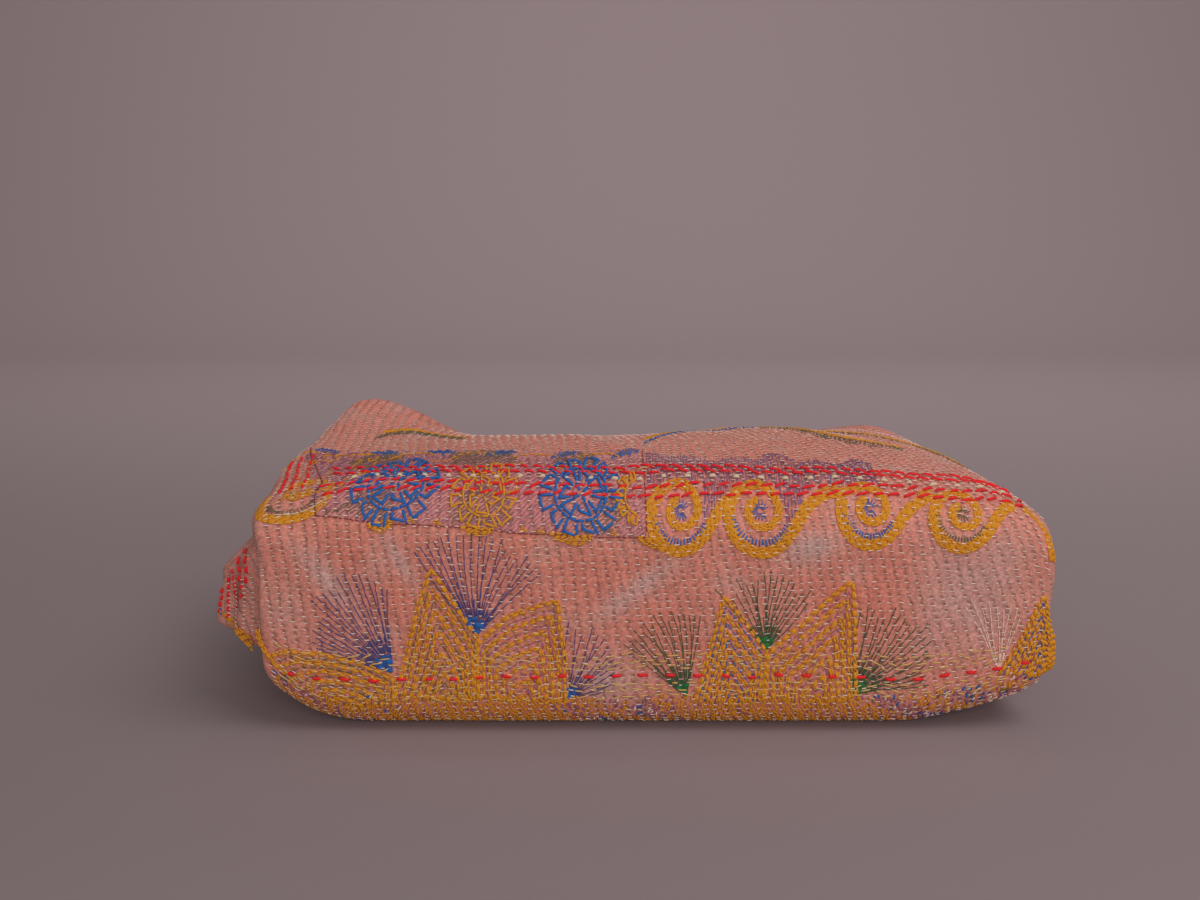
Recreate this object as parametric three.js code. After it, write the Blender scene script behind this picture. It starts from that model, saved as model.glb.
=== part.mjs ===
// A hand-stitched kantha quilt, folded in three along its length into a strip, and the strip
// folded back and forth into a bundle that lies on the floor.
// Units are millimetres. +X runs along the bundle, -Y is its front, and +Z is up.
// The origin is on the floor, under the middle of the bundle.
import * as THREE from "three";

// ---- Driving sizes ----

const CLOTH = 3.0; // thickness of the quilted cloth
const LAYER_PITCH = 4.8; // from one of the strip's three layers to the next
const STRIP_PITCH = 14.8; // from one pass of the strip to the next
const INNER_PASSES = 5; // passes that lie inside the two wraps
const DEPTH = 215; // front to back, before the cloth settles
const HEM_INSET = 14; // how far the lower layer's hem stops short of the left fold
const SLIT_END = -152; // where along the bundle the slit over that hem ends: one of KNOTS_X
const CORNER_RADIUS = 19; // outer wrap's shoulders, measured at the strip's middle
const FURROW_PITCH = 7.0; // from one quilting furrow to the next
const FURROW_DEPTH = 0.8; // how far the running stitches draw the cloth in
const FURROW_SLANT = 0.06; // sideways run of a furrow for each millimetre down the cloth

const HALF_CLOTH = CLOTH / 2;
const STRIP_HALF = LAYER_PITCH + HALF_CLOTH; // from the strip's middle to its outer face
const TURN_RADIUS = STRIP_PITCH / 2;
const STACK_HEIGHT = (INNER_PASSES + 3) * STRIP_PITCH + 2 * STRIP_HALF;
const FRONT = -DEPTH / 2;

// Where the long edges of each stretch of the strip lie.
const REACH = {
  wrapBottom: { left: -203, right: 224 },
  wrapFront: { left: -206, right: 226 },
  wrapTop: { left: -212, right: 226 },
  innerTop: { left: -216, right: 222 },
  innerShoulder: { left: -233, right: 225 },
  innerFront: { left: -239, right: 227 },
  innerBottom: { left: -234, right: 223 },
};

// The long edges of the passes inside, from the lowest up.
const PASSES = [
  { left: -211, right: 228 },
  { left: -217, right: 224 },
  { left: -209, right: 229 },
  { left: -219, right: 225 },
  { left: -212, right: 228 },
];

// How high the settled stack stands near its front, middle and back, along the bundle.
const CROWN = [
  { x: -242, front: 94, middle: 98, back: 103 },
  { x: -218, front: 114, middle: 122, back: 134 },
  { x: -200, front: 127, middle: 135, back: 152 },
  { x: -165, front: 134, middle: 138, back: 147 },
  { x: -136, front: 136, middle: 141, back: 133 },
  { x: -100, front: 137, middle: 144, back: 121 },
  { x: -40, front: 137, middle: 146, back: 114 },
  { x: 20, front: 137, middle: 147, back: 119 },
  { x: 70, front: 137, middle: 148, back: 126 },
  { x: 126, front: 136, middle: 145, back: 128 },
  { x: 178, front: 132, middle: 137, back: 135 },
  { x: 210, front: 124, middle: 124, back: 129 },
  { x: 242, front: 100, middle: 96, back: 106 },
];
const CROWN_AT = { front: -88, middle: -10, back: 95 };

// How far the underside lifts off the floor, and how much the ends draw in from front and back.
const ENDS = [
  { x: -237, lift: 40, narrow: 0.86 },
  { x: -219, lift: 31, narrow: 0.94 },
  { x: -203, lift: 21, narrow: 0.975 },
  { x: -180, lift: 6, narrow: 0.99 },
  { x: -150, lift: 0, narrow: 1 },
  { x: 145, lift: 0, narrow: 1 },
  { x: 180, lift: 6, narrow: 0.99 },
  { x: 207, lift: 14, narrow: 0.975 },
  { x: 222, lift: 21, narrow: 0.95 },
  { x: 237, lift: 34, narrow: 0.9 },
];

// How much the back of each end draws in towards the middle.
const BACK_TAPER = { left: 0.09, right: 0.18 };

// Slow unevenness of the settled cloth: size in millimetres and wavelengths along X, Y and Z.
const RIPPLES = [
  { size: 1.1, along: 190, across: 310, up: 150, phase: 0.4 },
  { size: 0.7, along: 83, across: 140, up: 95, phase: 2.1 },
  { size: 0.4, along: 41, across: 90, up: 60, phase: 4.0 },
];

// The cloth bends only at these places along X and Y, so that every layer bends together.
const KNOTS_X = [-242, -214, -188, -152, -100, 70, 126, 178, 210, 242];
const KNOTS_Y = [-125, -62, -12, 40, 94, 125];

// ---- Smooth curves through the tables ----

function clamp(value, low, high) {
  return Math.min(Math.max(value, low), high);
}

// A cubic through a table's rows, so that a named column runs smoothly along X.
function along(table, column, x) {
  const last = table.length - 1;
  const at = clamp(x, table[0].x, table[last].x);
  let i = 0;
  while (i < last - 1 && at > table[i + 1].x) i += 1;
  const slope = (k) => {
    const a = table[Math.max(k - 1, 0)];
    const b = table[Math.min(k + 1, last)];
    return (b[column] - a[column]) / (b.x - a.x);
  };
  const span = table[i + 1].x - table[i].x;
  const t = (at - table[i].x) / span;
  const rise = table[i + 1][column] - table[i][column];
  const s0 = slope(i) * span;
  const s1 = slope(i + 1) * span;
  const bend = (s0 + s1 - 2 * rise) * t + (3 * rise - 2 * s0 - s1);
  return table[i][column] + s0 * t + bend * t * t;
}

// The height of the settled top over a point of the floor: a parabola from front to back.
function crownHeight(x, y) {
  const { front, middle, back } = CROWN_AT;
  const at = clamp(y, front - 15, back + 12);
  const f = ((at - middle) * (at - back)) / ((front - middle) * (front - back));
  const m = ((at - front) * (at - back)) / ((middle - front) * (middle - back));
  const b = ((at - front) * (at - middle)) / ((back - front) * (back - middle));
  return f * along(CROWN, "front", x) + m * along(CROWN, "middle", x) + b * along(CROWN, "back", x);
}

function ripple(x, y, z, turn) {
  let sum = 0;
  RIPPLES.forEach((r) => {
    const a = Math.sin(2 * Math.PI * (x / r.along + z / r.up) + r.phase + turn);
    sum += r.size * a * Math.cos(2 * Math.PI * (y / r.across) + r.phase * 1.7 - turn);
  });
  return sum;
}

// Where a point of the straight, even stack comes to lie in the settled bundle.
function settled(x, y, z) {
  const depthShare = clamp((y + 45) / (DEPTH / 2 + 45), 0, 1);
  const taper = (x < 0 ? BACK_TAPER.left : BACK_TAPER.right) * depthShare ** 2;
  const lift = Math.max(along(ENDS, "lift", x), 0);
  const heightShare = z / STACK_HEIGHT;
  const free = clamp(z / 25, 0, 1);
  const settledZ = lift + (crownHeight(x, y) - lift) * heightShare;
  return new THREE.Vector3(
    x * (1 - taper) + free * ripple(y, x, z, 1.3),
    y * along(ENDS, "narrow", x) + free * ripple(x, y, z, 0),
    settledZ + free * 0.8 * ripple(x, z, y, 2.6),
  );
}

function knotBelow(knots, value) {
  let i = 0;
  while (i < knots.length - 2 && value > knots[i + 1]) i += 1;
  return i;
}

// The same place, worked out at the knots round the point and taken straight between them.
function settle(x, y, z) {
  const i = knotBelow(KNOTS_X, x);
  const j = knotBelow(KNOTS_Y, y);
  const [x0, x1, y0, y1] = [KNOTS_X[i], KNOTS_X[i + 1], KNOTS_Y[j], KNOTS_Y[j + 1]];
  const [tx, ty] = [(x - x0) / (x1 - x0), (y - y0) / (y1 - y0)];
  const near = settled(x0, y0, z).lerp(settled(x1, y0, z), tx);
  const far = settled(x0, y1, z).lerp(settled(x1, y1, z), tx);
  return near.lerp(far, ty);
}

// ---- The strip's path, seen from its end ----

// Walks the path of the strip's middle in Y and Z, and keeps a station at each step.
function stripPath() {
  const stations = [];
  let y = -FRONT - 6;
  let z = STRIP_HALF;
  let heading = Math.PI;
  let travelled = 0;

  // quilting is "furrowed", "smooth" where the furrows run out, or "plain" where they are left out.
  const keep = (reach, quilting) => {
    const outward = { y: -Math.sin(heading), z: Math.cos(heading) };
    stations.push({ y, z, outward, travelled, quilting, left: reach.left, right: reach.right });
  };
  // Carries the edges' places smoothly from one stretch to the next.
  const between = (a, b, t) => {
    const s = t * t * (3 - 2 * t);
    return { left: a.left + (b.left - a.left) * s, right: a.right + (b.right - a.right) * s };
  };
  const rise = (length, steps, from, to, quilting = "plain") => {
    for (let i = 1; i <= steps; i += 1) {
      y += (Math.cos(heading) * length) / steps;
      z += (Math.sin(heading) * length) / steps;
      travelled += length / steps;
      keep(between(from, to, i / steps), quilting);
    }
  };
  // A level run to a place across the bundle, with a station at each knot on the way.
  const level = (target, reach, quilting = "plain", atEnd = quilting) => {
    const way = Math.sign(target - y);
    const stops = KNOTS_Y.filter((k) => (k - y) * way > 8 && (target - k) * way > 8);
    if (way < 0) stops.reverse();
    [...stops, target].forEach((stop) => {
      travelled += Math.abs(stop - y);
      y = stop;
      keep(reach, stop === target ? atEnd : quilting);
    });
  };
  // side is 1 for a turn to the left of the heading, and -1 for one to the right.
  const turn = (radius, quarters, side, steps, from, to, quilting = "plain") => {
    const angle = (side * quarters * Math.PI) / 2 / steps;
    for (let i = 1; i <= steps; i += 1) {
      const chord = 2 * radius * Math.sin(Math.abs(angle) / 2);
      y += Math.cos(heading + angle / 2) * chord;
      z += Math.sin(heading + angle / 2) * chord;
      heading += angle;
      travelled += radius * Math.abs(angle);
      keep(between(from, to, i / steps), quilting);
    }
  };

  // Outer wrap: in along the floor, up the front and back over the top.
  const outer = REACH;
  const shoulder = FRONT + STRIP_HALF + CORNER_RADIUS;
  const wrapRise = STACK_HEIGHT - 2 * STRIP_HALF - 2 * CORNER_RADIUS;
  const wrapBack = -FRONT - STRIP_HALF - TURN_RADIUS;
  keep(outer.wrapBottom, "plain");
  level(shoulder, outer.wrapBottom, "plain", "smooth");
  turn(CORNER_RADIUS, 1, -1, 3, outer.wrapBottom, outer.wrapFront, "furrowed");
  rise(wrapRise, 2, outer.wrapFront, outer.wrapFront, "furrowed");
  turn(CORNER_RADIUS, 1, -1, 3, outer.wrapFront, outer.wrapTop, "furrowed");
  level(wrapBack, outer.wrapTop, "furrowed", "smooth");

  // Inner wrap: the same way round, inside the first, and drawn out to the left.
  const innerRadius = CORNER_RADIUS - 5;
  const innerShoulder = shoulder + STRIP_PITCH - 5;
  const innerRise = wrapRise - 2 * STRIP_PITCH + 2 * 5;
  turn(TURN_RADIUS, 2, -1, 4, outer.wrapTop, outer.innerTop);
  level(innerShoulder, outer.innerTop);
  turn(innerRadius, 1, 1, 2, outer.innerTop, outer.innerShoulder);
  rise(innerRise, 2, outer.innerShoulder, outer.innerFront);
  turn(innerRadius, 1, 1, 2, outer.innerFront, outer.innerBottom);
  level(wrapBack, outer.innerBottom);

  // Back and forth inside.
  const passFront = FRONT + 3 * STRIP_HALF + STRIP_PITCH + TURN_RADIUS + 2;
  let before = outer.innerBottom;
  PASSES.forEach((pass, i) => {
    const atBack = i % 2 === 0;
    turn(TURN_RADIUS, 2, atBack ? 1 : -1, 3, before, pass);
    level(atBack ? passFront : wrapBack, pass);
    before = pass;
  });
  return stations;
}

// ---- The strip's section, seen along the strip ----

// The outline of the folded strip, as places across it (x) and off its middle (n). The cloth is
// folded in three: the right fold wraps all three layers, the left fold wraps the upper two, and
// the lower layer's hem lies under that fold, with a slit above it.
function stripSection(left, right) {
  const outline = [];
  const rightTurn = right - STRIP_HALF;
  const foldRadius = LAYER_PITCH / 2 + HALF_CLOTH;
  const leftTurn = left + foldRadius;
  const hem = left + HEM_INSET;
  const straight = (x0, x1, n, knots, kind) => {
    const way = Math.sign(x1 - x0);
    const [low, high] = [Math.min(x0, x1) + 1, Math.max(x0, x1) - 1];
    const stops = knots.map((k) => clamp(k, low, high));
    if (way < 0) stops.reverse();
    [x0, ...stops, x1].forEach((x) => outline.push({ x, n, kind }));
  };
  const arc = (x, n, radius, start, steps) => {
    for (let i = 1; i < steps; i += 1) {
      const a = start + (Math.PI * i) / steps;
      outline.push({ x: x + radius * Math.cos(a), n: n + radius * Math.sin(a), kind: "fold" });
    }
  };
  straight(hem, rightTurn, -STRIP_HALF, KNOTS_X.slice(1, -1), "under");
  arc(rightTurn, 0, STRIP_HALF, -Math.PI / 2, 4);
  straight(rightTurn, leftTurn, STRIP_HALF, KNOTS_X.slice(1, -1), "face");
  arc(leftTurn, LAYER_PITCH / 2, foldRadius, Math.PI / 2, 4);
  straight(leftTurn, SLIT_END, -HALF_CLOTH, KNOTS_X.slice(1, 3), "slit");
  straight(SLIT_END, hem, HALF_CLOTH - LAYER_PITCH, KNOTS_X.slice(1, 3), "slit");
  return outline;
}

// The face of the strip with its furrows: crests lie on the plain face, and hollows below it.
function quiltedFace(from, to, travelled, depth) {
  const points = [];
  const first = Math.ceil((to.x + FURROW_PITCH) / (FURROW_PITCH / 2));
  const last = Math.floor((from.x - FURROW_PITCH) / (FURROW_PITCH / 2));
  const shift = FURROW_SLANT * travelled;
  const offset = shift - FURROW_PITCH * Math.round(shift / FURROW_PITCH);
  for (let i = last; i >= first; i -= 1) {
    const hollow = i % 2 === 0 ? 0 : depth;
    const x = clamp((i * FURROW_PITCH) / 2 + offset, to.x + 1, from.x - 1);
    points.push({ x, n: STRIP_HALF - hollow, kind: "face" });
  }
  return points;
}

// One closed loop round the strip at a station.
function loopAt(station) {
  const outline = stripSection(station.left, station.right);
  if (station.quilting !== "plain") {
    const first = outline.findIndex((p) => p.kind === "face");
    const last = outline.findLastIndex((p) => p.kind === "face");
    const depth = station.quilting === "furrowed" ? FURROW_DEPTH : 0;
    const quilted = quiltedFace(outline[first], outline[last], station.travelled, depth);
    outline.splice(first + 1, last - first - 1, ...quilted);
  }
  return outline.map(({ x, n, kind }) => {
    const y = station.y + n * station.outward.y;
    const z = station.z + n * station.outward.z;
    return { x, y, n, kind, onFace: kind === "face", place: settle(x, y, z) };
  });
}

// ---- The closed cloth ----

function foldedQuilt() {
  const points = [];
  const faces = [];
  const loops = stripPath().map((station) =>
    loopAt(station).map((p) => {
      points.push(p.place.x, p.place.y, p.place.z);
      return { ...p, index: points.length / 3 - 1 };
    }),
  );

  // Joins two like rows of points. Each quad is split the same way as its neighbours above
  // and below, so that layers that bend together stay apart.
  const joinAlike = (a, b) => {
    for (let i = 0; i < a.length - 1; i += 1) {
      const [p0, p1, p2, p3] = [a[i], a[i + 1], b[i + 1], b[i]];
      const rising = (p2.x - p0.x) * (p2.y - p0.y) > 0;
      if (rising) faces.push(p0.index, p3.index, p2.index, p0.index, p2.index, p1.index);
      else faces.push(p0.index, p3.index, p1.index, p1.index, p3.index, p2.index);
    }
  };
  // Joins two rows with different points, taking a step on whichever lies further right.
  const joinUnlike = (a, b) => {
    let i = 0;
    let j = 0;
    while (i < a.length - 1 || j < b.length - 1) {
      const nextA = i + 1 < a.length ? a[i + 1].x : -Infinity;
      const nextB = j + 1 < b.length ? b[j + 1].x : -Infinity;
      if (nextA >= nextB) {
        faces.push(a[i].index, b[j].index, a[i + 1].index);
        i += 1;
      } else {
        faces.push(a[i].index, b[j].index, b[j + 1].index);
        j += 1;
      }
    }
  };
  const faceOf = (loop) => loop.filter((p) => p.onFace);
  const restOf = (loop) => {
    const first = loop.findIndex((p) => p.onFace);
    const last = loop.findLastIndex((p) => p.onFace);
    return [...loop.slice(last), ...loop.slice(0, first + 1)];
  };
  for (let k = 1; k < loops.length; k += 1) {
    const [a, b] = [loops[k - 1], loops[k]];
    const join = faceOf(a).length === faceOf(b).length ? joinAlike : joinUnlike;
    join(faceOf(a), faceOf(b));
    joinAlike(restOf(a), restOf(b));
  }

  // Closes the strip's two short ends, piece by piece, so that the caps bend with the cloth.
  const cap = (loop, turned) => {
    const closePiece = (piece) => {
      const contour = piece.map((p) => new THREE.Vector2(p.x, p.n));
      THREE.ShapeUtils.triangulateShape(contour, []).forEach((triangle) => {
        const [a, b, c] = triangle.map((k) => piece[k].index);
        if (turned) faces.push(c, b, a);
        else faces.push(a, b, c);
      });
    };
    const find = (kind) => loop.findIndex((p) => p.kind === kind);
    const [face, slit, under] = [find("face"), find("slit"), find("fold") - 1];
    const faceEnd = loop.findLastIndex((p) => p.kind === "face");
    const columns = KNOTS_X.filter((k) => k > SLIT_END).length;
    const last = loop.length - 1;
    const slitEnd = (slit + last - 1) / 2;
    closePiece(loop.slice(under, face + 1));
    for (let i = 0; i < columns; i += 1) {
      const within = i < columns - 1 ? [] : loop.slice(slitEnd, slitEnd + 2);
      const [above, below] = [loop.slice(face + i, face + i + 2), under - i];
      closePiece([...above, ...within, ...loop.slice(below - 1, below + 1)]);
    }
    for (let i = 0; i < slitEnd - slit; i += 1) {
      const above = loop.slice(faceEnd - i - 1, faceEnd - i + 1);
      closePiece([...above, ...loop.slice(slit + i, slit + i + 2)]);
      closePiece([...loop.slice(last - i - 1, last - i + 1), ...loop.slice(i, i + 2)]);
    }
    closePiece(loop.slice(faceEnd, slit + 1));
  };
  cap(loops[0], false);
  cap(loops[loops.length - 1], true);

  const geometry = new THREE.BufferGeometry();
  geometry.setAttribute("position", new THREE.Float32BufferAttribute(points, 3));
  geometry.setIndex(faces);
  geometry.computeVertexNormals();
  geometry.computeBoundingBox();
  const middle = geometry.boundingBox.getCenter(new THREE.Vector3());
  geometry.translate(-middle.x, -middle.y, 0);
  return geometry;
}

// ---- The part ----

const cotton = new THREE.MeshStandardMaterial({ color: 0xc98274, roughness: 0.95, metalness: 0 });

const quilt = new THREE.Mesh(foldedQuilt(), cotton);
quilt.name = "quilt";

const bundle = new THREE.Group();
bundle.add(quilt);

export default bundle;
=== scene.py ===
# %% [markdown]
# # A folded kantha quilt
# A kantha is a quilt of thin worn cotton, held together by row upon row of running stitch.
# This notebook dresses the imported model: it lays a finer cloth on the same folds, sews a patch
# and the embroidery on it, and lights it softly on a pale floor.

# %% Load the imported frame
import math

import bpy
import numpy as np
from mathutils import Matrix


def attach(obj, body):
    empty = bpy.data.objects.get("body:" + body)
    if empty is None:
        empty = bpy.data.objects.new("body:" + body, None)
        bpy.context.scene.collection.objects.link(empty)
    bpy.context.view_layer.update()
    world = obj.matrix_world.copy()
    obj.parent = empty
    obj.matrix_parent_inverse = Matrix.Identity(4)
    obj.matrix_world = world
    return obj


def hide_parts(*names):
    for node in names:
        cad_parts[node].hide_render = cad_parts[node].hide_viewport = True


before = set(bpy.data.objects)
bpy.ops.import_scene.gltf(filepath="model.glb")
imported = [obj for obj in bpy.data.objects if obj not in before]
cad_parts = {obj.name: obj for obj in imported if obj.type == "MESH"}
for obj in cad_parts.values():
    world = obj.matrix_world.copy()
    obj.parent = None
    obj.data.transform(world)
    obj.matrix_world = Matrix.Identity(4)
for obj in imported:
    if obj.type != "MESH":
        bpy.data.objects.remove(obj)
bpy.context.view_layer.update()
MM = 0.001

# %% [markdown]
# ## Camera
# A short lens looks down a little, from about three quarters of a metre in front of the bundle.

# %% Camera
SENSOR_WIDTH = 36.0
IMAGE_WIDTH = 1200
FOCAL_PIXELS = 1250
CAMERA_AT = (-0.01575, -0.748, 0.292)
CAMERA_DOWN = 11.7



def show(name, data):
    """Puts a new object in the scene."""
    shown = bpy.data.objects.new(name, data)
    bpy.context.scene.collection.objects.link(shown)
    return shown


camera_data = bpy.data.cameras.new("camera")
camera_data.sensor_width = SENSOR_WIDTH
camera_data.lens = SENSOR_WIDTH * FOCAL_PIXELS / IMAGE_WIDTH
camera = show("camera", camera_data)
camera.location = CAMERA_AT
camera.rotation_euler = (math.radians(90 - CAMERA_DOWN), 0, 0)
bpy.context.scene.camera = camera
print("lens", camera_data.lens, "mm")

# %% [markdown]
# ## Sizes of the folds
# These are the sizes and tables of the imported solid, in millimetres. The cloth below follows the
# same path, so it lies where the solid lies.

# %% Sizes of the folds
CLOTH = 3.0
LAYER_PITCH = 4.8
STRIP_PITCH = 14.8
INNER_PASSES = 5
DEPTH = 215
HEM_INSET = 14
CORNER_RADIUS = 19
INNER_INSET = 5  # how much tighter the inner wrap turns
HEM_SHORT = 6  # how far the strip's lowest end stops short of the back
HALF_CLOTH = CLOTH / 2
STRIP_HALF = LAYER_PITCH + HALF_CLOTH
TURN_RADIUS = STRIP_PITCH / 2
STACK_HEIGHT = (INNER_PASSES + 3) * STRIP_PITCH + 2 * STRIP_HALF
FRONT = -DEPTH / 2
CENTRE = (5.28, 0.05)

REACH = {
    "wrap bottom": (-203, 224),
    "wrap front": (-206, 226),
    "wrap top": (-212, 226),
    "inner top": (-216, 222),
    "inner shoulder": (-233, 225),
    "inner front": (-239, 227),
    "inner bottom": (-234, 223),
}
PASSES = [(-211, 228), (-217, 224), (-209, 229), (-219, 225), (-212, 228)]

# columns: x, height near the front, the middle and the back
CROWN = np.array(
    [
        (-242, 94, 98, 103),
        (-218, 114, 122, 134),
        (-200, 127, 135, 152),
        (-165, 134, 138, 147),
        (-136, 136, 141, 133),
        (-100, 137, 144, 121),
        (-40, 137, 146, 114),
        (20, 137, 147, 119),
        (70, 137, 148, 126),
        (126, 136, 145, 128),
        (178, 132, 137, 135),
        (210, 124, 124, 129),
        (242, 100, 96, 106),
    ],
    float,
)
CROWN_AT = (-88, -10, 95)
CROWN_BEYOND = (15, 12)

# columns: x, lift off the floor, share of the depth that is left
ENDS = np.array(
    [
        (-237, 40, 0.86),
        (-219, 31, 0.94),
        (-203, 21, 0.975),
        (-180, 6, 0.99),
        (-150, 0, 1),
        (145, 0, 1),
        (180, 6, 0.99),
        (207, 14, 0.975),
        (222, 21, 0.95),
        (237, 34, 0.9),
    ],
    float,
)
BACK_TAPER = {"left": 0.09, "right": 0.18}
TAPER_FROM = -45

# columns: size, wavelength along X, Y and Z, phase
RIPPLES = [(1.1, 190, 310, 150, 0.4), (0.7, 83, 140, 95, 2.1), (0.4, 41, 90, 60, 4.0)]
RIPPLES_FREE = 25  # the ripples fade out below this height, so that the foot lies flat
print("stack height", STACK_HEIGHT, "mm")

# %% [markdown]
# ## How a straight stack settles
# A neat stack has flat layers. This one slumps: its middle crowns up, its ends lift and draw in,
# and the whole is a little uneven. One function carries every point from the neat stack to the
# settled bundle, so layers that start apart stay apart.


# %% How a straight stack settles
def along(table, column, x):
    """A cubic through a table's rows, so that a column runs smoothly along X."""
    xs, ys = table[:, 0], table[:, column]
    rows = np.arange(len(xs))
    before, after = np.maximum(rows - 1, 0), np.minimum(rows + 1, len(xs) - 1)
    slopes = (ys[after] - ys[before]) / (xs[after] - xs[before])
    at = np.clip(x, xs[0], xs[-1])
    i = np.clip(np.searchsorted(xs, at, side="right") - 1, 0, len(xs) - 2)
    span = xs[i + 1] - xs[i]
    t = (at - xs[i]) / span
    rise = ys[i + 1] - ys[i]
    s0, s1 = slopes[i] * span, slopes[i + 1] * span
    bend = (s0 + s1 - 2 * rise) * t + (3 * rise - 2 * s0 - s1)
    return ys[i] + s0 * t + bend * t * t


def crown_height(x, y):
    """A parabola over the depth, through the heights at the front, the middle and the back."""
    front, middle, back = CROWN_AT
    at = np.clip(y, front - CROWN_BEYOND[0], back + CROWN_BEYOND[1])
    f = (at - middle) * (at - back) / ((front - middle) * (front - back))
    m = (at - front) * (at - back) / ((middle - front) * (middle - back))
    b = (at - front) * (at - middle) / ((back - front) * (back - middle))
    return f * along(CROWN, 1, x) + m * along(CROWN, 2, x) + b * along(CROWN, 3, x)


def ripple(x, y, z, turn):
    """A small unevenness. The turn shifts its waves, so that each direction has its own."""
    total = 0
    for size, length_x, length_y, length_z, phase in RIPPLES:
        wave = np.sin(2 * np.pi * (x / length_x + z / length_z) + phase + turn)
        total = total + size * wave * np.cos(2 * np.pi * y / length_y + phase * 1.7 - turn)
    return total


def settle(x, y, z):
    """Where a point of the neat stack comes to lie, in millimetres."""
    depth_share = np.clip((y - TAPER_FROM) / (DEPTH / 2 - TAPER_FROM), 0, 1)
    side = np.where(x < 0, BACK_TAPER["left"], BACK_TAPER["right"])
    lift = np.maximum(along(ENDS, 1, x), 0)
    free = np.clip(z / RIPPLES_FREE, 0, 1)
    height = lift + (crown_height(x, y) - lift) * z / STACK_HEIGHT
    return np.stack(
        [
            x * (1 - side * depth_share**2) + free * ripple(y, x, z, 1.3) + CENTRE[0],
            y * along(ENDS, 2, x) + free * ripple(x, y, z, 0) + CENTRE[1],
            height + free * 0.8 * ripple(x, z, y, 2.6),
        ],
        axis=-1,
    )


# %% [markdown]
# ## The path of the strip
# The quilt is folded in three into a long strip, and the strip is folded into the bundle: an outer
# wrap, an inner wrap, and five passes back and forth. The path is walked here as a turtle would,
# seen from the bundle's end, and a station is kept at each step.


# %% The path of the strip
FINE_STEP = 3.0
COARSE_STEP = 9.0
FINE_UNDERNEATH = 12


class StripPath:
    """Walks the middle of the strip in Y and Z."""

    def __init__(self, y, z, heading):
        self.y, self.z, self.heading, self.travelled = y, z, heading, 0.0
        self.stations = []

    def keep(self, reach, fine):
        outward = (-math.sin(self.heading), math.cos(self.heading))
        self.stations.append((self.y, self.z, *outward, self.travelled, *reach, fine))

    def blend(self, a, b, t):
        s = t * t * (3 - 2 * t)
        return tuple(p + (q - p) * s for p, q in zip(a, b))

    def run(self, length, start, end, fine=False):
        steps = max(2, round(length / (FINE_STEP if fine else COARSE_STEP)))
        for i in range(1, steps + 1):
            self.y += math.cos(self.heading) * length / steps
            self.z += math.sin(self.heading) * length / steps
            self.travelled += length / steps
            self.keep(self.blend(start, end, i / steps), fine)

    def turn(self, radius, quarters, side, start, end, fine=False):
        arc = radius * quarters * math.pi / 2
        steps = max(6, round(arc / FINE_STEP) if fine else 0)
        angle = side * quarters * math.pi / 2 / steps
        chord = 2 * radius * math.sin(abs(angle) / 2)
        for i in range(1, steps + 1):
            self.y += math.cos(self.heading + angle / 2) * chord
            self.z += math.sin(self.heading + angle / 2) * chord
            self.heading += angle
            self.travelled += arc / steps
            self.keep(self.blend(start, end, i / steps), fine)


SHOULDER = FRONT + STRIP_HALF + CORNER_RADIUS
WRAP_BACK = -FRONT - STRIP_HALF - TURN_RADIUS
WRAP_RISE = STACK_HEIGHT - 2 * STRIP_HALF - 2 * CORNER_RADIUS
FLOOR_RUN = -FRONT - HEM_SHORT - SHOULDER
INNER_RADIUS = CORNER_RADIUS - INNER_INSET
INNER_RISE = WRAP_RISE - 2 * STRIP_PITCH + 2 * INNER_INSET
INNER_SHOULDER = SHOULDER + STRIP_PITCH - INNER_INSET
PASS_FRONT = FRONT + 3 * STRIP_HALF + STRIP_PITCH + TURN_RADIUS + 2


def strip_stations():
    """The whole walk, from the hem under the bundle to the last pass."""
    path = StripPath(-FRONT - HEM_SHORT, STRIP_HALF, math.pi)
    bottom, front, top, inner_top, inner_shoulder, inner_front, inner_bottom = REACH.values()
    path.keep(bottom, False)
    path.run(FLOOR_RUN - FINE_UNDERNEATH, bottom, bottom)
    path.run(FINE_UNDERNEATH, bottom, bottom, fine=True)
    path.turn(CORNER_RADIUS, 1, -1, bottom, front, fine=True)
    path.run(WRAP_RISE, front, front, fine=True)
    path.turn(CORNER_RADIUS, 1, -1, front, top, fine=True)
    path.run(WRAP_BACK - SHOULDER, top, top, fine=True)
    path.turn(TURN_RADIUS, 2, -1, top, inner_top)
    path.run(WRAP_BACK - INNER_SHOULDER, inner_top, inner_top)
    path.turn(INNER_RADIUS, 1, 1, inner_top, inner_shoulder)
    path.run(INNER_RISE, inner_shoulder, inner_front)
    path.turn(INNER_RADIUS, 1, 1, inner_front, inner_bottom)
    path.run(WRAP_BACK - INNER_SHOULDER, inner_bottom, inner_bottom)
    before = inner_bottom
    for number, reach in enumerate(PASSES):
        at_back = number % 2 == 0
        start = WRAP_BACK if at_back else PASS_FRONT
        path.y = start
        path.turn(TURN_RADIUS, 2, 1 if at_back else -1, before, reach)
        path.run(WRAP_BACK - PASS_FRONT, reach, reach)
        before = reach
    return path.stations


# A bend is longer on the strip's outer face than on its middle line, which the path follows.
MIDDLE_BEND = CORNER_RADIUS * math.pi / 2
OUTER_BEND = (CORNER_RADIUS + STRIP_HALF) * math.pi / 2
ONWARD = 9999
PATH_MARKS = np.cumsum([0, FLOOR_RUN, MIDDLE_BEND, WRAP_RISE, MIDDLE_BEND, ONWARD])
FACE_MARKS = np.cumsum([-FLOOR_RUN, FLOOR_RUN, OUTER_BEND, WRAP_RISE, OUTER_BEND, ONWARD])

stations = strip_stations()
print(len(stations), "stations,", round(stations[-1][4]), "mm of strip")

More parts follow.
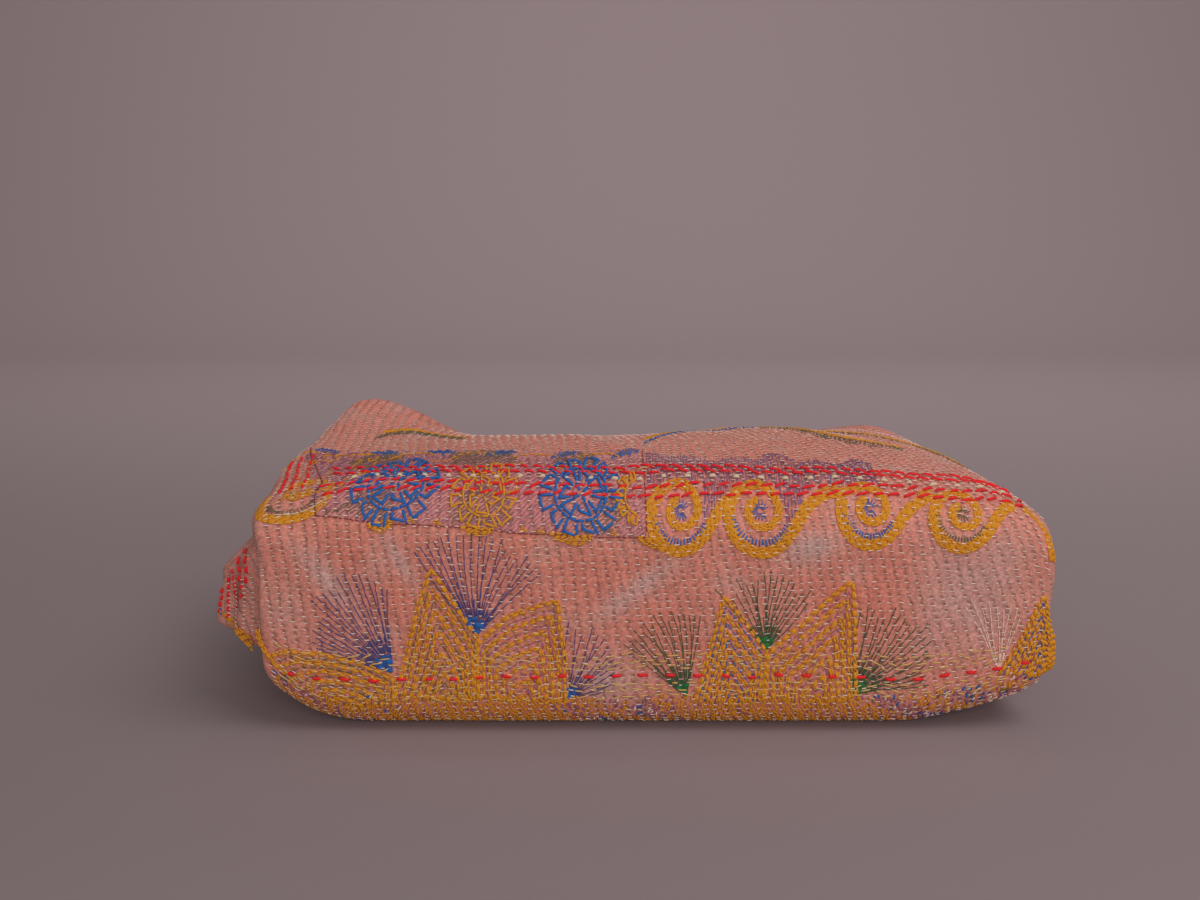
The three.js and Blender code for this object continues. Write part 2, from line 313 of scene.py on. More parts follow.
# %% [markdown]
# ## Where the stitches lie
# The rows of running stitch pull the cloth into narrow furrows, which lean a little and wander. The
# furrow count rises by one at each furrow, so a whole number marks a furrow's floor, and the row
# count does the same for the rows of stitches.

# %% Where the stitches lie
STITCH_PITCH = 6.1
ROW_PITCH = 4.0
FURROW_DEPTH = 0.75
FURROW_BREADTH = 0.7
# columns: size, wavelength across, wavelength up, phase
WANDER = [(1.5, 170, 260, 0.6), (0.8, 67, 110, 2.2), (0.45, 29, 48, 4.4)]
# columns: size, wavelength across, phase
SWAY = [(0.8, 210, 1.0), (0.5, 77, 0.0)]
LEAN_LEFT, LEAN_MORE = 0.12, 0.16
LEAN_FROM, LEAN_OVER = -120, 300


def furrow_count(u, w):
    """How many furrows lie left of a place."""
    lean = LEAN_LEFT + LEAN_MORE * np.clip((u - LEAN_FROM) / LEAN_OVER, 0, 1)
    wander = 0
    for size, across, up, phase in WANDER:
        wander = wander + size * np.sin(2 * np.pi * u / across + phase) * np.cos(
            2 * np.pi * w / up + 2 * phase
        )
    return (u + lean * w + wander) / STITCH_PITCH


def row_sway(u):
    return sum(size * np.sin(2 * np.pi * u / across + phase) for size, across, phase in SWAY)


def row_count(u, w):
    """How many rows lie below a place."""
    return (w + row_sway(u)) / ROW_PITCH


def furrow_relief(count):
    """How far the face lies below its crests: broad crests and narrow furrows."""
    return -FURROW_DEPTH * (1 - np.abs(np.sin(np.pi * count)) ** FURROW_BREADTH)


print("furrows across the face:", int(furrow_count(226, 0) - furrow_count(-217, 0)))

# %% [markdown]
# ## The cloth
# At each station the folded cloth is one closed loop: three layers, a fold on the right, a smaller
# fold on the left, and two hems inside. The loops are joined into one closed mesh. Its first UV
# map is the flat cloth in metres, and its second counts furrows and rows.

# %% The cloth
FACE_STEPS = 310
PLAIN_STEPS = 30
FOLD_STEPS = 8
FINISHED_FROM = -8  # above this height the outer face gets real stitches, and the rest painted ones
HIDDEN_FADE, HIDDEN_DEEP = 0.2, 0.1


def eased(a, b, steps):
    """Places from a to b that lie closer together near both."""
    t = np.linspace(0, 1, steps + 1)
    return a + (b - a) * (0.5 * t + 0.5 * (1 - np.cos(np.pi * t)) / 2)


def layer_line(left, right, face_steps):
    """The middle line of the folded cloth, hem to hem: rows of x, n, ox, on, across, is_face."""
    right_x = right - LAYER_PITCH - HALF_CLOTH
    left_x = left + LAYER_PITCH / 2 + HALF_CLOTH
    rows = []

    def straight(xs, n, away, across, is_face):
        rows.extend((x, n, 0, away, a, is_face) for x, a in zip(xs, across))

    def arc(x, n, radius, start, across, sign):
        for a in np.linspace(start, start + np.pi, FOLD_STEPS + 1)[1:-1]:
            ox, on = math.cos(a), math.sin(a)
            rows.append((x + radius * ox, n + radius * on, ox, on, across + sign * radius * (a - start), 0))

    turn_length = np.pi * LAYER_PITCH
    xs = eased(left + HEM_INSET, right_x, PLAIN_STEPS)
    straight(xs, -LAYER_PITCH, -1, right_x + turn_length + (right_x - xs), 0)
    arc(right_x, 0, LAYER_PITCH, -np.pi / 2, right_x + turn_length, -1)
    if face_steps > PLAIN_STEPS:
        xs = np.linspace(right_x, left_x, face_steps + 1)
    else:
        xs = eased(right_x, left_x, face_steps)
    straight(xs, LAYER_PITCH, 1, xs, 1)
    arc(left_x, LAYER_PITCH / 2, LAYER_PITCH / 2, np.pi / 2, left_x, -1)
    xs = eased(left_x, right_x - HEM_INSET / 2, PLAIN_STEPS)
    straight(xs, 0, -1, left_x - turn_length / 2 - (xs - left_x), 0)
    return np.array(rows)


def cloth_loop(station):
    """One closed loop: its places, its cloth coordinates, and which of them are on the face."""
    y, z, out_y, out_z, travelled, left, right, fine = station
    travelled = np.interp(travelled, PATH_MARKS, FACE_MARKS)
    line = layer_line(left, right, FACE_STEPS if fine else PLAIN_STEPS)
    plain = layer_line(left, right, PLAIN_STEPS)
    face = line[:, 5] > 0
    n = line[:, 1] + HALF_CLOTH * line[:, 3]
    if fine:
        n = n + np.where(face, furrow_relief(furrow_count(line[:, 4], travelled)), 0)
    away = np.stack([line[:, 0] + HALF_CLOTH * line[:, 2], n], axis=1)
    within = plain[::-1, :2] - HALF_CLOTH * plain[::-1, 2:4]
    both = np.concatenate([away, within])
    across = np.concatenate([line[:, 4], plain[::-1, 4]])
    is_face = np.concatenate([face, np.zeros(len(plain), bool)])
    places = settle(both[:, 0], y + both[:, 1] * out_y, z + both[:, 1] * out_z)
    cloth = np.stack([across, np.full(len(across), travelled)], axis=1)
    return places, cloth, is_face


# Where the dye has faded or stayed deep. columns: place (u, w), half width, half height, tilt, strength
FADES = [
    (-168, 103, 7, 24, 40, 0.75),
    (-127, 111, 5, 17, 32, 0.65),
    (-2, 97, 29, 6, 37, 0.75),
    (90, 119, 17, 9, 12, 0.75),
    (182, 92, 32, 38, 4, 0.58),
    (196, 118, 18, 16, 0, 0.5),
    (-15, 45, 22, 14, 0, 0.6),
    (158, 70, 14, 18, 0, 0.35),
    (-190, 80, 14, 20, 10, 0.4),
]
DEEPS = [
    (-45, 102, 40, 22, 8, 0.8),
    (112, 98, 24, 14, 0, 0.6),
    (38, 112, 18, 12, 0, 0.7),
    (-100, 118, 20, 10, 0, 0.5),
    (169, 298, 26, 14, 0, 1.0),
    (60, 185, 50, 10, 0, 0.6),
    (20, 240, 300, 70, 0, 0.65),
    (10, 75, 16, 26, 0, 0.4),
    (-186, 122, 16, 10, 0, 0.5),
]


def turn_of(degrees):
    """An angle's cosine and sine."""
    return math.cos(math.radians(degrees)), math.sin(math.radians(degrees))


def spread(table, u, w):
    """How strong the wear is at each place: full in the middle of a patch, and soft at its edge."""
    total = np.zeros(len(u))
    for middle_u, middle_w, across, up, tilt, strength in table:
        c, s = turn_of(tilt)
        du, dw = u - middle_u, w - middle_w
        far = ((c * du + s * dw) / across) ** 2 + ((c * dw - s * du) / up) ** 2
        total = np.maximum(total, strength * np.exp(-far))
    return total


def keep_numbers(mesh, name, numbers, kind="FLOAT", field="value"):
    """Keeps a number, or a vector, on each point of a mesh."""
    layer = mesh.attributes.new(name, kind, "POINT")
    layer.data.foreach_set(field, np.ascontiguousarray(numbers, np.float32).ravel())


def add_wear(mesh, cloth, painted):
    """Keeps fading, deep dye and painted stitches as numbers on the cloth's points."""
    u, w = cloth.T
    keep_numbers(mesh, "fade", np.where(painted, HIDDEN_FADE, spread(FADES, u, w)))
    keep_numbers(mesh, "deep", np.where(painted, HIDDEN_DEEP, spread(DEEPS, u, w)))
    keep_numbers(mesh, "painted", painted)


def add_cloth_maps(mesh, cloth):
    """The cloth's own coordinates in metres, and the counts of furrows and rows."""
    corners = np.zeros(len(mesh.loops), int)
    mesh.loops.foreach_get("vertex_index", corners)
    flat = cloth[corners]
    counts = np.stack([furrow_count(*flat.T), row_count(*flat.T)], axis=1)
    for name, values in (("cloth", flat * MM), ("stitching", counts)):
        layer = mesh.uv_layers.new(name=name)
        layer.data.foreach_set("uv", values.astype(np.float32).ravel())


def smooth_mesh(name, places, faces):
    """A mesh with smooth faces, from places in metres."""
    mesh = bpy.data.meshes.new(name)
    mesh.from_pydata(places, [], faces)
    mesh.polygons.foreach_set("use_smooth", [True] * len(faces))
    return mesh


def quilt_mesh():
    """Joins the loops into one closed mesh, and closes its two ends."""
    loops = [cloth_loop(s) for s in stations]
    starts = np.cumsum([0] + [len(loop[0]) for loop in loops])
    faces = []

    def join_alike(a, b):
        """Four-sided faces between two rows with as many places."""
        faces.extend(zip(a[:-1], b[:-1], b[1:], a[1:]))

    def join_unlike(a, b):
        """Triangles between two rows, where one has more places."""
        i = j = 0
        while i < len(a) - 1 or j < len(b) - 1:
            if j == len(b) - 1 or (i < len(a) - 1 and (i + 1) * (len(b) - 1) <= (j + 1) * (len(a) - 1)):
                faces.append((a[i], b[j], a[i + 1]))
                i += 1
            else:
                faces.append((a[i], b[j], b[j + 1]))
                j += 1

    def parts(k):
        """A loop's face, and the rest of it, as numbers of places."""
        index = starts[k] + np.arange(len(loops[k][0]))
        on_face = np.flatnonzero(loops[k][2])
        first, last = on_face[0], on_face[-1]
        rest = np.concatenate([index[last:], index[: first + 1]])
        return index[first : last + 1].tolist(), rest.tolist()

    for k in range(1, len(loops)):
        (face_a, rest_a), (face_b, rest_b) = parts(k - 1), parts(k)
        (join_alike if len(face_a) == len(face_b) else join_unlike)(face_a, face_b)
        join_alike(rest_a, rest_b)
    for k, turned in ((0, False), (len(loops) - 1, True)):
        index = (starts[k] + np.arange(len(loops[k][0]))).tolist()
        half = len(index) // 2
        for i in range(half - 1):
            quad = (index[i], index[i + 1], index[-2 - i], index[-1 - i])
            faces.append(quad[::-1] if turned else quad)
    places, cloth, on_outside = (np.concatenate(kind) for kind in zip(*loops))
    fine = np.repeat([station[-1] for station in stations], np.diff(starts))
    mesh = smooth_mesh("quilt_cloth", (places * MM).tolist(), faces)
    add_cloth_maps(mesh, cloth)
    add_wear(mesh, cloth, ~(on_outside & fine & (cloth[:, 1] > FINISHED_FROM)))
    return mesh


quilt = show("quilt_cloth", quilt_mesh())
print("quilt:", len(quilt.data.polygons), "faces")

# %% [markdown]
# ## Places on the outer face
# Embroidery is laid out on the flat cloth: u runs along the bundle and w runs up the front from its
# foot and on over the top, both in millimetres. This function finds where such a place lies.


# %% Places on the outer face
def on_face(u, w, rise=0.0, relief=True):
    """Where a place on the outer face lies, in millimetres, and raised off the cloth if asked."""
    radius = CORNER_RADIUS + STRIP_HALF
    low = np.clip(w / OUTER_BEND, 0, 1)
    high = np.clip((w - OUTER_BEND - WRAP_RISE) / OUTER_BEND, 0, 1)
    turned = (low + high) * np.pi / 2
    climbed = np.clip(w - OUTER_BEND, 0, WRAP_RISE)
    back = np.maximum(w - 2 * OUTER_BEND - WRAP_RISE, 0) - np.minimum(w, 0)
    n = rise + (furrow_relief(furrow_count(u, w)) if relief else 0)
    y = SHOULDER + back - (radius + n) * np.sin(turned)
    z = radius + climbed - (radius + n) * np.cos(turned)
    return settle(u, y, z)


print("front middle:", on_face(0.0, 90.0).round(1), "mm")

# %% [markdown]
# ## Threads
# Every stitch is one short arched thread. A stitch is a row of numbers: its middle (u, w), the
# vector from its start to its end, its thickness and how far it stands off the cloth. Lines of
# stitches are cut from curves, and solid areas are filled with rows of them.


# %% Threads
random = np.random.default_rng(17)
UPPER_EDGE = 148.0
EDGE_STRETCH = 0.75
BAND_THREAD = 1.2


def sewn(line, stitch, gap, thick, rise=0.3, wobble=0.0, start=0.0):
    """Cuts a line of (u, w) points into stitches, with a gap after each."""
    line = np.asarray(line, float)
    steps = np.hypot(np.diff(line[:, 0]), np.diff(line[:, 1]))
    reach = np.concatenate([[0], np.cumsum(steps)])
    starts = np.arange(min(start, 0.3 * reach[-1]), reach[-1] - 0.3 * stitch, stitch + gap)
    ends = np.minimum(starts + stitch, reach[-1])
    a = np.stack([np.interp(starts, reach, line[:, k]) for k in (0, 1)], axis=1)
    b = np.stack([np.interp(ends, reach, line[:, k]) for k in (0, 1)], axis=1)
    a = a + random.normal(0, wobble, a.shape)
    b = b + random.normal(0, wobble, b.shape)
    extra = np.stack([np.full(len(a), thick), np.full(len(a), rise)], axis=1)
    return np.concatenate([(a + b) / 2, b - a, extra], axis=1)


def curve(points, steps=10):
    """A smooth line through a few (u, w) points."""
    p = np.asarray(points, float)
    p = np.concatenate([[2 * p[0] - p[1]], p, [2 * p[-1] - p[-2]]])
    t = np.linspace(0, 1, steps, endpoint=False)[:, None]
    out = []
    for a, b, c, d in zip(p[:-3], p[1:-2], p[2:-1], p[3:]):
        bend = (2 * a - 5 * b + 4 * c - d) * t**2 + (3 * b - a - 3 * c + d) * t**3
        out.append(0.5 * (2 * b + (c - a) * t + bend))
    return np.concatenate([*out, p[-2:-1]])


def beside(line, distance):
    """The line moved sideways, to its left for a positive distance."""
    line = np.asarray(line, float)
    step = np.gradient(line, axis=0)
    step /= np.linalg.norm(step, axis=1, keepdims=True) + 1e-9
    return line + distance * np.stack([-step[:, 1], step[:, 0]], axis=1)


def band(line, width, rows):
    """A solid band of rows side by side along a line."""
    offsets = np.linspace(-0.5, 0.5, rows) * (width - BAND_THREAD)
    return [sewn(beside(line, d), 4.6, 0, BAND_THREAD, 0.45, 0.06, random.uniform(0, 4)) for d in offsets]


def hatched(outline, angle, pitch, stitch, gap, thick, rise=0.3):
    """Fills a closed outline with rows of stitches, laid at an angle in degrees."""
    c, s = turn_of(angle)
    turn = np.array([[c, -s], [s, c]])
    corners = np.asarray(outline, float) @ turn
    following = np.roll(corners, -1, axis=0)
    groups = []
    for y in np.arange(corners[:, 1].min() + pitch / 2, corners[:, 1].max(), pitch):
        y = y + random.normal(0, pitch * 0.08)
        cut = (corners[:, 1] > y) != (following[:, 1] > y)
        a, b = corners[cut], following[cut]
        xs = np.sort(a[:, 0] + (y - a[:, 1]) * (b[:, 0] - a[:, 0]) / (b[:, 1] - a[:, 1]))
        for x0, x1 in zip(xs[::2], xs[1::2]):
            if x1 - x0 > 0.4 * stitch:
                line = np.array([(x0, y), (x1, y)]) @ turn.T
                groups.append(sewn(line, stitch, gap, thick, rise, 0.15, random.uniform(0, stitch)))
    return groups


def polar(u, w, distance, angle, squash=1.0):
    """The place at a distance and an angle from (u, w)."""
    return u + distance * math.cos(angle), w + squash * distance * math.sin(angle)


def ellipse(u, w, across, up, start, end, steps, tilt=0):
    """An arc of an ellipse round (u, w), with its angles in degrees."""
    a = np.radians(np.linspace(start, end, steps))
    x, y = across * np.cos(a), up * np.sin(a)
    c, s = turn_of(tilt)
    return np.stack([u + c * x - s * y, w + s * x + c * y], axis=1)


def over_edge(w):
    """Over the front's rounded upper edge the drawing runs further up the cloth."""
    return w + EDGE_STRETCH * np.maximum(w - UPPER_EDGE, 0)


THREADS = {}


def tell(what):
    """Says how many stitches there are, once these are sewn too."""
    total = sum(len(rows) for groups in THREADS.values() for rows in groups)
    print("stitches with", what + ":", total)


def add(colour, *groups):
    """Keeps groups of stitches for a colour, carried over the upper edge."""
    for rows in groups:
        if len(rows):
            low = over_edge(rows[:, 1] - rows[:, 3] / 2)
            high = over_edge(rows[:, 1] + rows[:, 3] / 2)
            placed = rows.copy()
            placed[:, 1], placed[:, 3] = (low + high) / 2, high - low
            THREADS.setdefault(colour, []).append(placed)


# %% [markdown]
# ### The quilting
# Pale running stitches hold the layers. They sit in the furrows, in rows that run along the bundle.

# %% The quilting
QUILTED_FROM, QUILTED_TO = 11, 326
QUILTED_RIGHT = 224
EDGE_MARGIN = 3.0
# above this height, on the bundle's top, the threads are finer and lie deeper
ON_TOP = 180
FLAP_HEIGHTS = (0, 25, 60, 140, ON_TOP)
FLAP_LEFT = [REACH["wrap " + place][0] for place in ("bottom", "bottom", "front", "front", "top")]
probe = np.arange(-214.0, 224.5, 0.5)
pale = []
for row in range(math.ceil(QUILTED_FROM / ROW_PITCH), math.floor(QUILTED_TO / ROW_PITCH)):
    height = row * ROW_PITCH - row_sway(probe)
    count = furrow_count(probe, height)
    whole = np.arange(math.ceil(count[0]), math.floor(count[-1]) + 1)
    u = np.interp(whole, count, probe)
    # no two stitches are alike in place, length, thickness and lean
    w = np.interp(u, probe, height) + random.normal(0, 0.28, len(u))
    u = u + random.normal(0, 0.4, len(u))
    length = random.uniform(1.6, 3.3, len(u))
    thick = random.uniform(0.45, 0.85, len(u)) * np.where(w > ON_TOP, 0.7, 1.0)
    lean = random.normal(0, 0.1, len(u))
    stitches = np.stack([u, w, length, lean * length, thick, np.where(w > ON_TOP, 0.45, 0.95)], axis=1)
    left = np.interp(w, FLAP_HEIGHTS, FLAP_LEFT) + EDGE_MARGIN
    pale.append(stitches[(u > left) & (u < QUILTED_RIGHT - EDGE_MARGIN)])
THREADS["pale"] = pale
tell("the quilting")

# %% [markdown]
# ### The waves
# A rolling wave border in ochre: each wave dips, rises to a crest and curls back in. Short ticks
# line the hollow of each curl, and a comb of blue and mauve lines stands above the first two.

# %% The waves
# columns: middle of the curl (u, w), its size, and the colour of its ticks
WAVES = [
    (22, 139.0, 1.0, "blue"),
    (65, 137.5, 1.06, "blue"),
    (123, 139.0, 0.94, "blue"),
    (172, 139.5, 0.94, "olive"),
]
# one wave as places from its curl's middle: down its left side, under it and up to the next crest
DIP = [(-12, 9), (-15.5, 3), (-15.8, -6), (-11.5, -15), (-2.5, -20)]
DIP += [(6, -18.5), (13, -12), (19, -3), (24, 3.5), (30, 7.5)]
BORDER_END = (214, 141)
WIDE_WAVE = 46  # a wave longer than this has one more place on its crest
CURL_FROM, CURL_TURNS = 138, 1.12
for (u, w, size, ticks), (next_u, next_w, *_) in zip(WAVES, WAVES[1:] + [BORDER_END]):
    crest = [(next_u - 21, next_w + 8.5), (next_u - 14, next_w + 9.5)]
    dip = [(u + size * x, w + size * y) for x, y in DIP]
    add("ochre", *band(curve(dip + (crest if next_u - u > WIDE_WAVE else crest[1:])), 6.6, 8))
    turn = np.linspace(0, 1, 44)
    angle = np.radians(CURL_FROM) - turn * CURL_TURNS * 2 * np.pi
    radius = size * (12.9 - 8.0 * turn)
    curl = np.stack([u + 0.93 * radius * np.cos(angle), w + 1 + radius * np.sin(angle)], axis=1)
    lead = curve([(u - size * 16, w + size * 8.5), (u - size * 12, w + size * 9.6), tuple(curl[2])], 6)
    add("ochre", *band(np.concatenate([lead[:-1], curl[2:]]), 4.6, 6))
    for a in np.radians(np.arange(186, 340, 7)):
        tick = [polar(u, w, r, a, 1.06) for r in (size * 12.6, size * 16.2)]
        add(ticks, sewn(tick, 3.9, 1, 0.95, 0.5))
    for a in np.radians(np.arange(20, 330, 24)):
        tick = [polar(u, w + 1, r, a) for r in (1.2, 5.0)]
        add(ticks, sewn(tick, 3.9, 1, 0.7, 0.4))
over_the_end = curve([(206, 149), (213, 147), (219, 139), (221, 128), (222, 118)])
add("ochre", *band(over_the_end, 4.5, 5))

# the comb's foot follows the waves: places along a wave from its curl's middle, and their heights
COMB_TOP, COMB_FOOT = 170, 149.5
COMB_PLACES = (-14, 11, 13, 19, 25, 29)
COMB_FEET = (COMB_FOOT, COMB_FOOT, 131, 136, 146, 150)
for u in np.arange(5, 130, 1.75):
    middle = min((wave[0] for wave in WAVES), key=lambda place: abs(u - place - 7))
    foot = float(np.interp(u - middle, COMB_PLACES, COMB_FEET)) if middle < 100 else COMB_FOOT
    top = COMB_TOP + 2.2 * math.sin(u / 9) + 1.8 * math.sin(u / 3.7)
    comb = [(u, foot + random.normal(0, 0.6)), (u + 2.2, top)]
    add("violet", sewn(comb, 5.6, 0.5, 0.52, 0.3, 0.12, random.uniform(0, 4)))
    add("mauve", sewn([(x + 0.85, y) for x, y in comb], 5.0, 1.4, 0.38, 0.3, 0.12, random.uniform(0, 4)))
tell("the waves")

# %% [markdown]
# ### The crowns
# Two lotus crowns stand on the lower edge, each with a petal on either side of a notch. A petal is
# filled with smaller and smaller copies of its outline, ochre and thin coloured lines by turns.

# %% The crowns
# each petal: its outline from foot to foot, the point its copies shrink to, and its thin colour
PETALS = [
    ([(-134, 34), (-124, 66), (-110, 106), (-98, 86), (-88, 69), (-87, 34)], (-106, 31), "olive"),
    ([(-88, 34), (-87, 66), (-70, 80), (-44, 91), (-40, 62), (-40, 32)], (-64, 30), "mauve"),
    ([(32, 32), (38, 62), (45, 93), (58, 76), (69, 62), (69, 34)], (52, 29), "blue"),
    ([(70, 34), (70, 60), (90, 78), (114, 101), (117, 66), (118, 34)], (97, 29), "mauve"),
    ([(-204, 42), (-190, 56), (-172, 58), (-150, 54), (-134, 46), (-135, 30)], (-158, 24), "olive"),
    ([(196, 40), (206, 55), (220, 92), (226, 60), (226, 40), (226, 30)], (218, 30), "blue"),
]
COPIES = 13
for outline, heart, thin in PETALS:
    outline = np.array(outline, float)
    sides = [np.linspace(a, b, 5, endpoint=False) for a, b in zip(outline, outline[1:])]
    line = np.concatenate([*sides, outline[-1:]])
    for row in range(COPIES):
        copy = np.array(heart) + (line - heart) * (1 - row / (COPIES + 0.5))
        if row % 2 == 0:
            add("ochre", sewn(copy, 4.4, 0.6, 2.1 if row == 0 else 1.75, 0.7, 0.25, random.uniform(0, 3)))
            add("ochre", sewn(beside(copy, 1.2), 3.8, 1.0, 1.35, 0.6, 0.25, random.uniform(0, 3)))
        else:
            add(thin, sewn(copy, 3.6, 1.2, 0.8, 0.4, 0.2, random.uniform(0, 3)))
            add("ochre", sewn(beside(copy, 1.0), 2.6, 2.6, 0.8, 0.4, 0.25, random.uniform(0, 3)))
tell("the crowns")

# %% [markdown]
# ### The sprays
# Sprays of fine rays fan out from a point, solid at the foot and open at the tips.

# %% The sprays
# columns: foot (u, w), first and last angle, first, middle and last length, rays, colour
SPRAYS = [
    (-135, 50, 164, 88, 44, 60, 52, 20, "blue"),
    (-88, 70, 124, 46, 60, 60, 50, 20, "blue"),
    (-39, 35, 88, 14, 44, 40, 26, 14, "blue"),
    (27, 37, 144, 84, 48, 50, 46, 17, "green"),
    (69, 63, 130, 50, 44, 42, 38, 17, "green"),
    (117, 38, 87, 6, 48, 56, 42, 20, "green"),
    (196, 44, 115, 72, 50, 46, 38, 9, "pale"),
]
RAY_COLOURS = {"blue": "indigo", "green": "moss", "pale": "pale"}
for u, w, first, last, *lengths, rays, colour in SPRAYS:
    # a short ray stands between each two long ones, except in the pale spray
    for ray in np.arange(0, rays - 0.5, 0.5 if colour != "pale" else 1):
        t = ray / (rays - 1)
        angle = math.radians(first + (last - first) * t)
        whole = float(np.interp(t, (0, 0.5, 1), lengths)) * random.uniform(0.86, 1.04)
        between = ray != int(ray)
        length = whole * (random.uniform(0.3, 0.42) if between else 1.0)
        tip = polar(u, w, length, angle)
        bend = random.normal(0, 0.9) * (length / whole)
        middle = ((u + tip[0]) / 2 - bend * math.sin(angle), (w + tip[1]) / 2 + bend * math.cos(angle))
        line = curve([(u, w), middle, tip], 6)
        add(RAY_COLOURS[colour], sewn(line, 4.8, 0.3, 0.62, 0.5, 0.1, random.uniform(0, 1)))
        if colour != "pale":
            foot = line[: max(3, int(len(line) * (0.3 if not between else 0.6)))]
            add(colour, sewn(foot, 4.0, 0.1, 1.15, 0.45, 0.15))
tell("the sprays")

# %% [markdown]
# ### The lower edge
# A close filling of ochre, mauve and blue, with rows of pale gold and one row of red dashes over it.

# %% The lower edge
FILLING_PITCH = 2.1
# under the crowns there is more ochre. columns: middle, half width, sharpness of its ends, amount
CROWNED = [(-88, 62, 4, 1), (75, 55, 4, 1), (-170, 30, 2, 0.6)]
for row, w in enumerate(np.arange(8.5, 36, FILLING_PITCH)):
    us = np.arange(-200 + (row % 2) * 1.1, 216, FILLING_PITCH)
    us = us + random.normal(0, 0.35, len(us))
    crowned = sum(more * np.exp(-(((us - at) / wide) ** sharp)) for at, wide, sharp, more in CROWNED)
    shade = 1.3 * crowned + 0.7 * np.sin(us / 7.3 + row / 2.2) + random.normal(0, 0.5, len(us))
    slant = np.where(np.sin(us / 26 + 1) > 0, 1.15, -1.15) + random.normal(0, 0.25, len(us))
    length = random.uniform(2.2, 3.2, len(us))
    rows = [us, w + random.normal(0, 0.4, len(us)), length * np.cos(slant), length * np.sin(slant)]
    rows = np.stack([*rows, np.full(len(us), 1.3), np.full(len(us), 0.5)], axis=1)
    kept = random.uniform(0, 1, len(us)) < 0.52 + 0.3 * np.clip(crowned, 0, 1)
    add("ochre", rows[kept & (shade > 0.1)])
    add("mauve", rows[kept & (shade <= 0.1) & (shade > -0.45)])
    add("blue" if row % 3 else "olive", rows[kept & (shade <= -0.45) & (shade > -0.9)])
    add("pale", rows[kept & (shade <= -0.9)])
for row, w in enumerate((60, 56.5, 53, 43.5, 40, 36.5)):
    line = curve([(-198, w - 2), (-150, w - 2), (-60, w - 1), (20, w + 1), (110, w), (200, w - 3)])
    add("gold", sewn(line, 4.8, 3.4, 1.0, 1.0, 0.8, (row * 4.1) % 9))
edge_line = curve([(-192, 41), (-165, 44.5), (-80, 47), (0, 49), (90, 48), (170, 46), (218, 45)])
add("red", sewn(edge_line, 5.4, 9.4, 2.1, 1.3, 0.3))
flap_corner = curve([(-206, 66), (-206, 56), (-203, 47), (-198, 41), (-190, 38)])
add("ochre", *band(flap_corner, 3.2, 3))
tell("the lower edge")

# %% [markdown]
# ### The patch
# A mauve patch is sewn over the front's upper left, with wheels of small open squares, hatched
# sectors, half discs on its lower seam and leaves along its upper one.

# %% The patch
PATCH_BOTTOM = [(-173, 136.5), (-146, 132.5), (-129, 129.5), (-100, 129)]
PATCH_BOTTOM += [(-73, 128), (-47, 126.5), (-19, 126), (3, 126)]
PATCH_TOP = [(-200, 204), (-180, 200), (-160, 197), (-142, 194)]
PATCH_TOP += [(-110, 186), (-91, 181.5), (-45, 178), (5, 176)]
patch_edge = np.array(PATCH_BOTTOM + [(u, w - 8) for u, w in PATCH_TOP[::-1]], float)
add("mauve", *hatched(patch_edge, 42, 1.9, 4.6, 0.9, 0.55, 0.75))

# columns: middle (u, w), radius, colour, squares in the outer and inner ring, first angle
WHEELS = [
    (-133, 152, 23.5, "blue", 12, 7, 0),
    (-84, 147, 19.0, "ochre", 12, 6, 0),
    (-31, 148, 22.5, "blue", 12, 7, 0),
    (1, 146, 13.5, "ochre", 9, 0, 100),
]
CORNER_LAP = 0.1  # how far a square's sides cross at its corners, as a share of a side
OLIVE_SECTORS = [
    [(-170, 137), (-146, 132.5), (-133, 130), (-133, 150), (-150, 150), (-160, 142)],
    [(-168, 170), (-150, 163), (-134, 170), (-136, 186), (-156, 190), (-168, 182)],
    [(-104, 131), (-80, 129), (-66, 134), (-70, 146), (-84, 154), (-98, 146)],
    [(-106, 166), (-84, 160), (-66, 166), (-74, 178), (-92, 180), (-110, 178)],
    [(-34, 127), (-18, 126.5), (-6, 138), (-4, 150), (-14, 150), (-26, 138)],
    [(-52, 166), (-38, 158), (-20, 166), (-26, 175), (-40, 176)],
]
for sector in OLIVE_SECTORS:
    add("olive", *hatched(sector, 38, 1.75, 4.2, 0.6, 0.7, 0.85))
for u, w, size, colour, outer, inner, first in WHEELS:
    stroke = 2.0 if colour == "blue" else 1.5
    last = first + 360 if inner else 262
    add(colour, sewn(ellipse(u, w, 0.62 * size, 0.62 * size, first, last, 40), 4.4, 0.15, stroke, 1.1, 0.15))
    rings = [(0.68 * size, 0.98 * size, outer)] + ([(0.26 * size, 0.54 * size, inner)] if inner else [])
    for low, high, count in rings:
        pitch = (last - first) / count
        for k in range(count):
            a0, a1 = (math.radians(first + pitch * (k + e)) for e in (0.14, 0.8))
            near = high - 0.16 * size if k % 2 else high
            corners = [(low, a0), (near, a0), (high, a1), (low, a1)]
            square = [polar(u, w, r, a) for r, a in corners]
            for a, b in zip(square[:-1], square[1:]):
                over = [CORNER_LAP * (b[k] - a[k]) for k in (0, 1)]
                side = [(a[0] - over[0], a[1] - over[1]), (b[0] + over[0], b[1] + over[1])]
                add(colour, sewn(side, 7.5, 0.1, stroke, 1.15, 0.2))
    if inner:
        for k in range(4):
            a = math.radians(first + 90 * k + 30)
            spoke = [polar(u, w, r, a) for r in (0.06 * size, 0.22 * size)]
            add(colour, sewn(spoke, 3.5, 0.3, stroke, 1.1, 0.2))

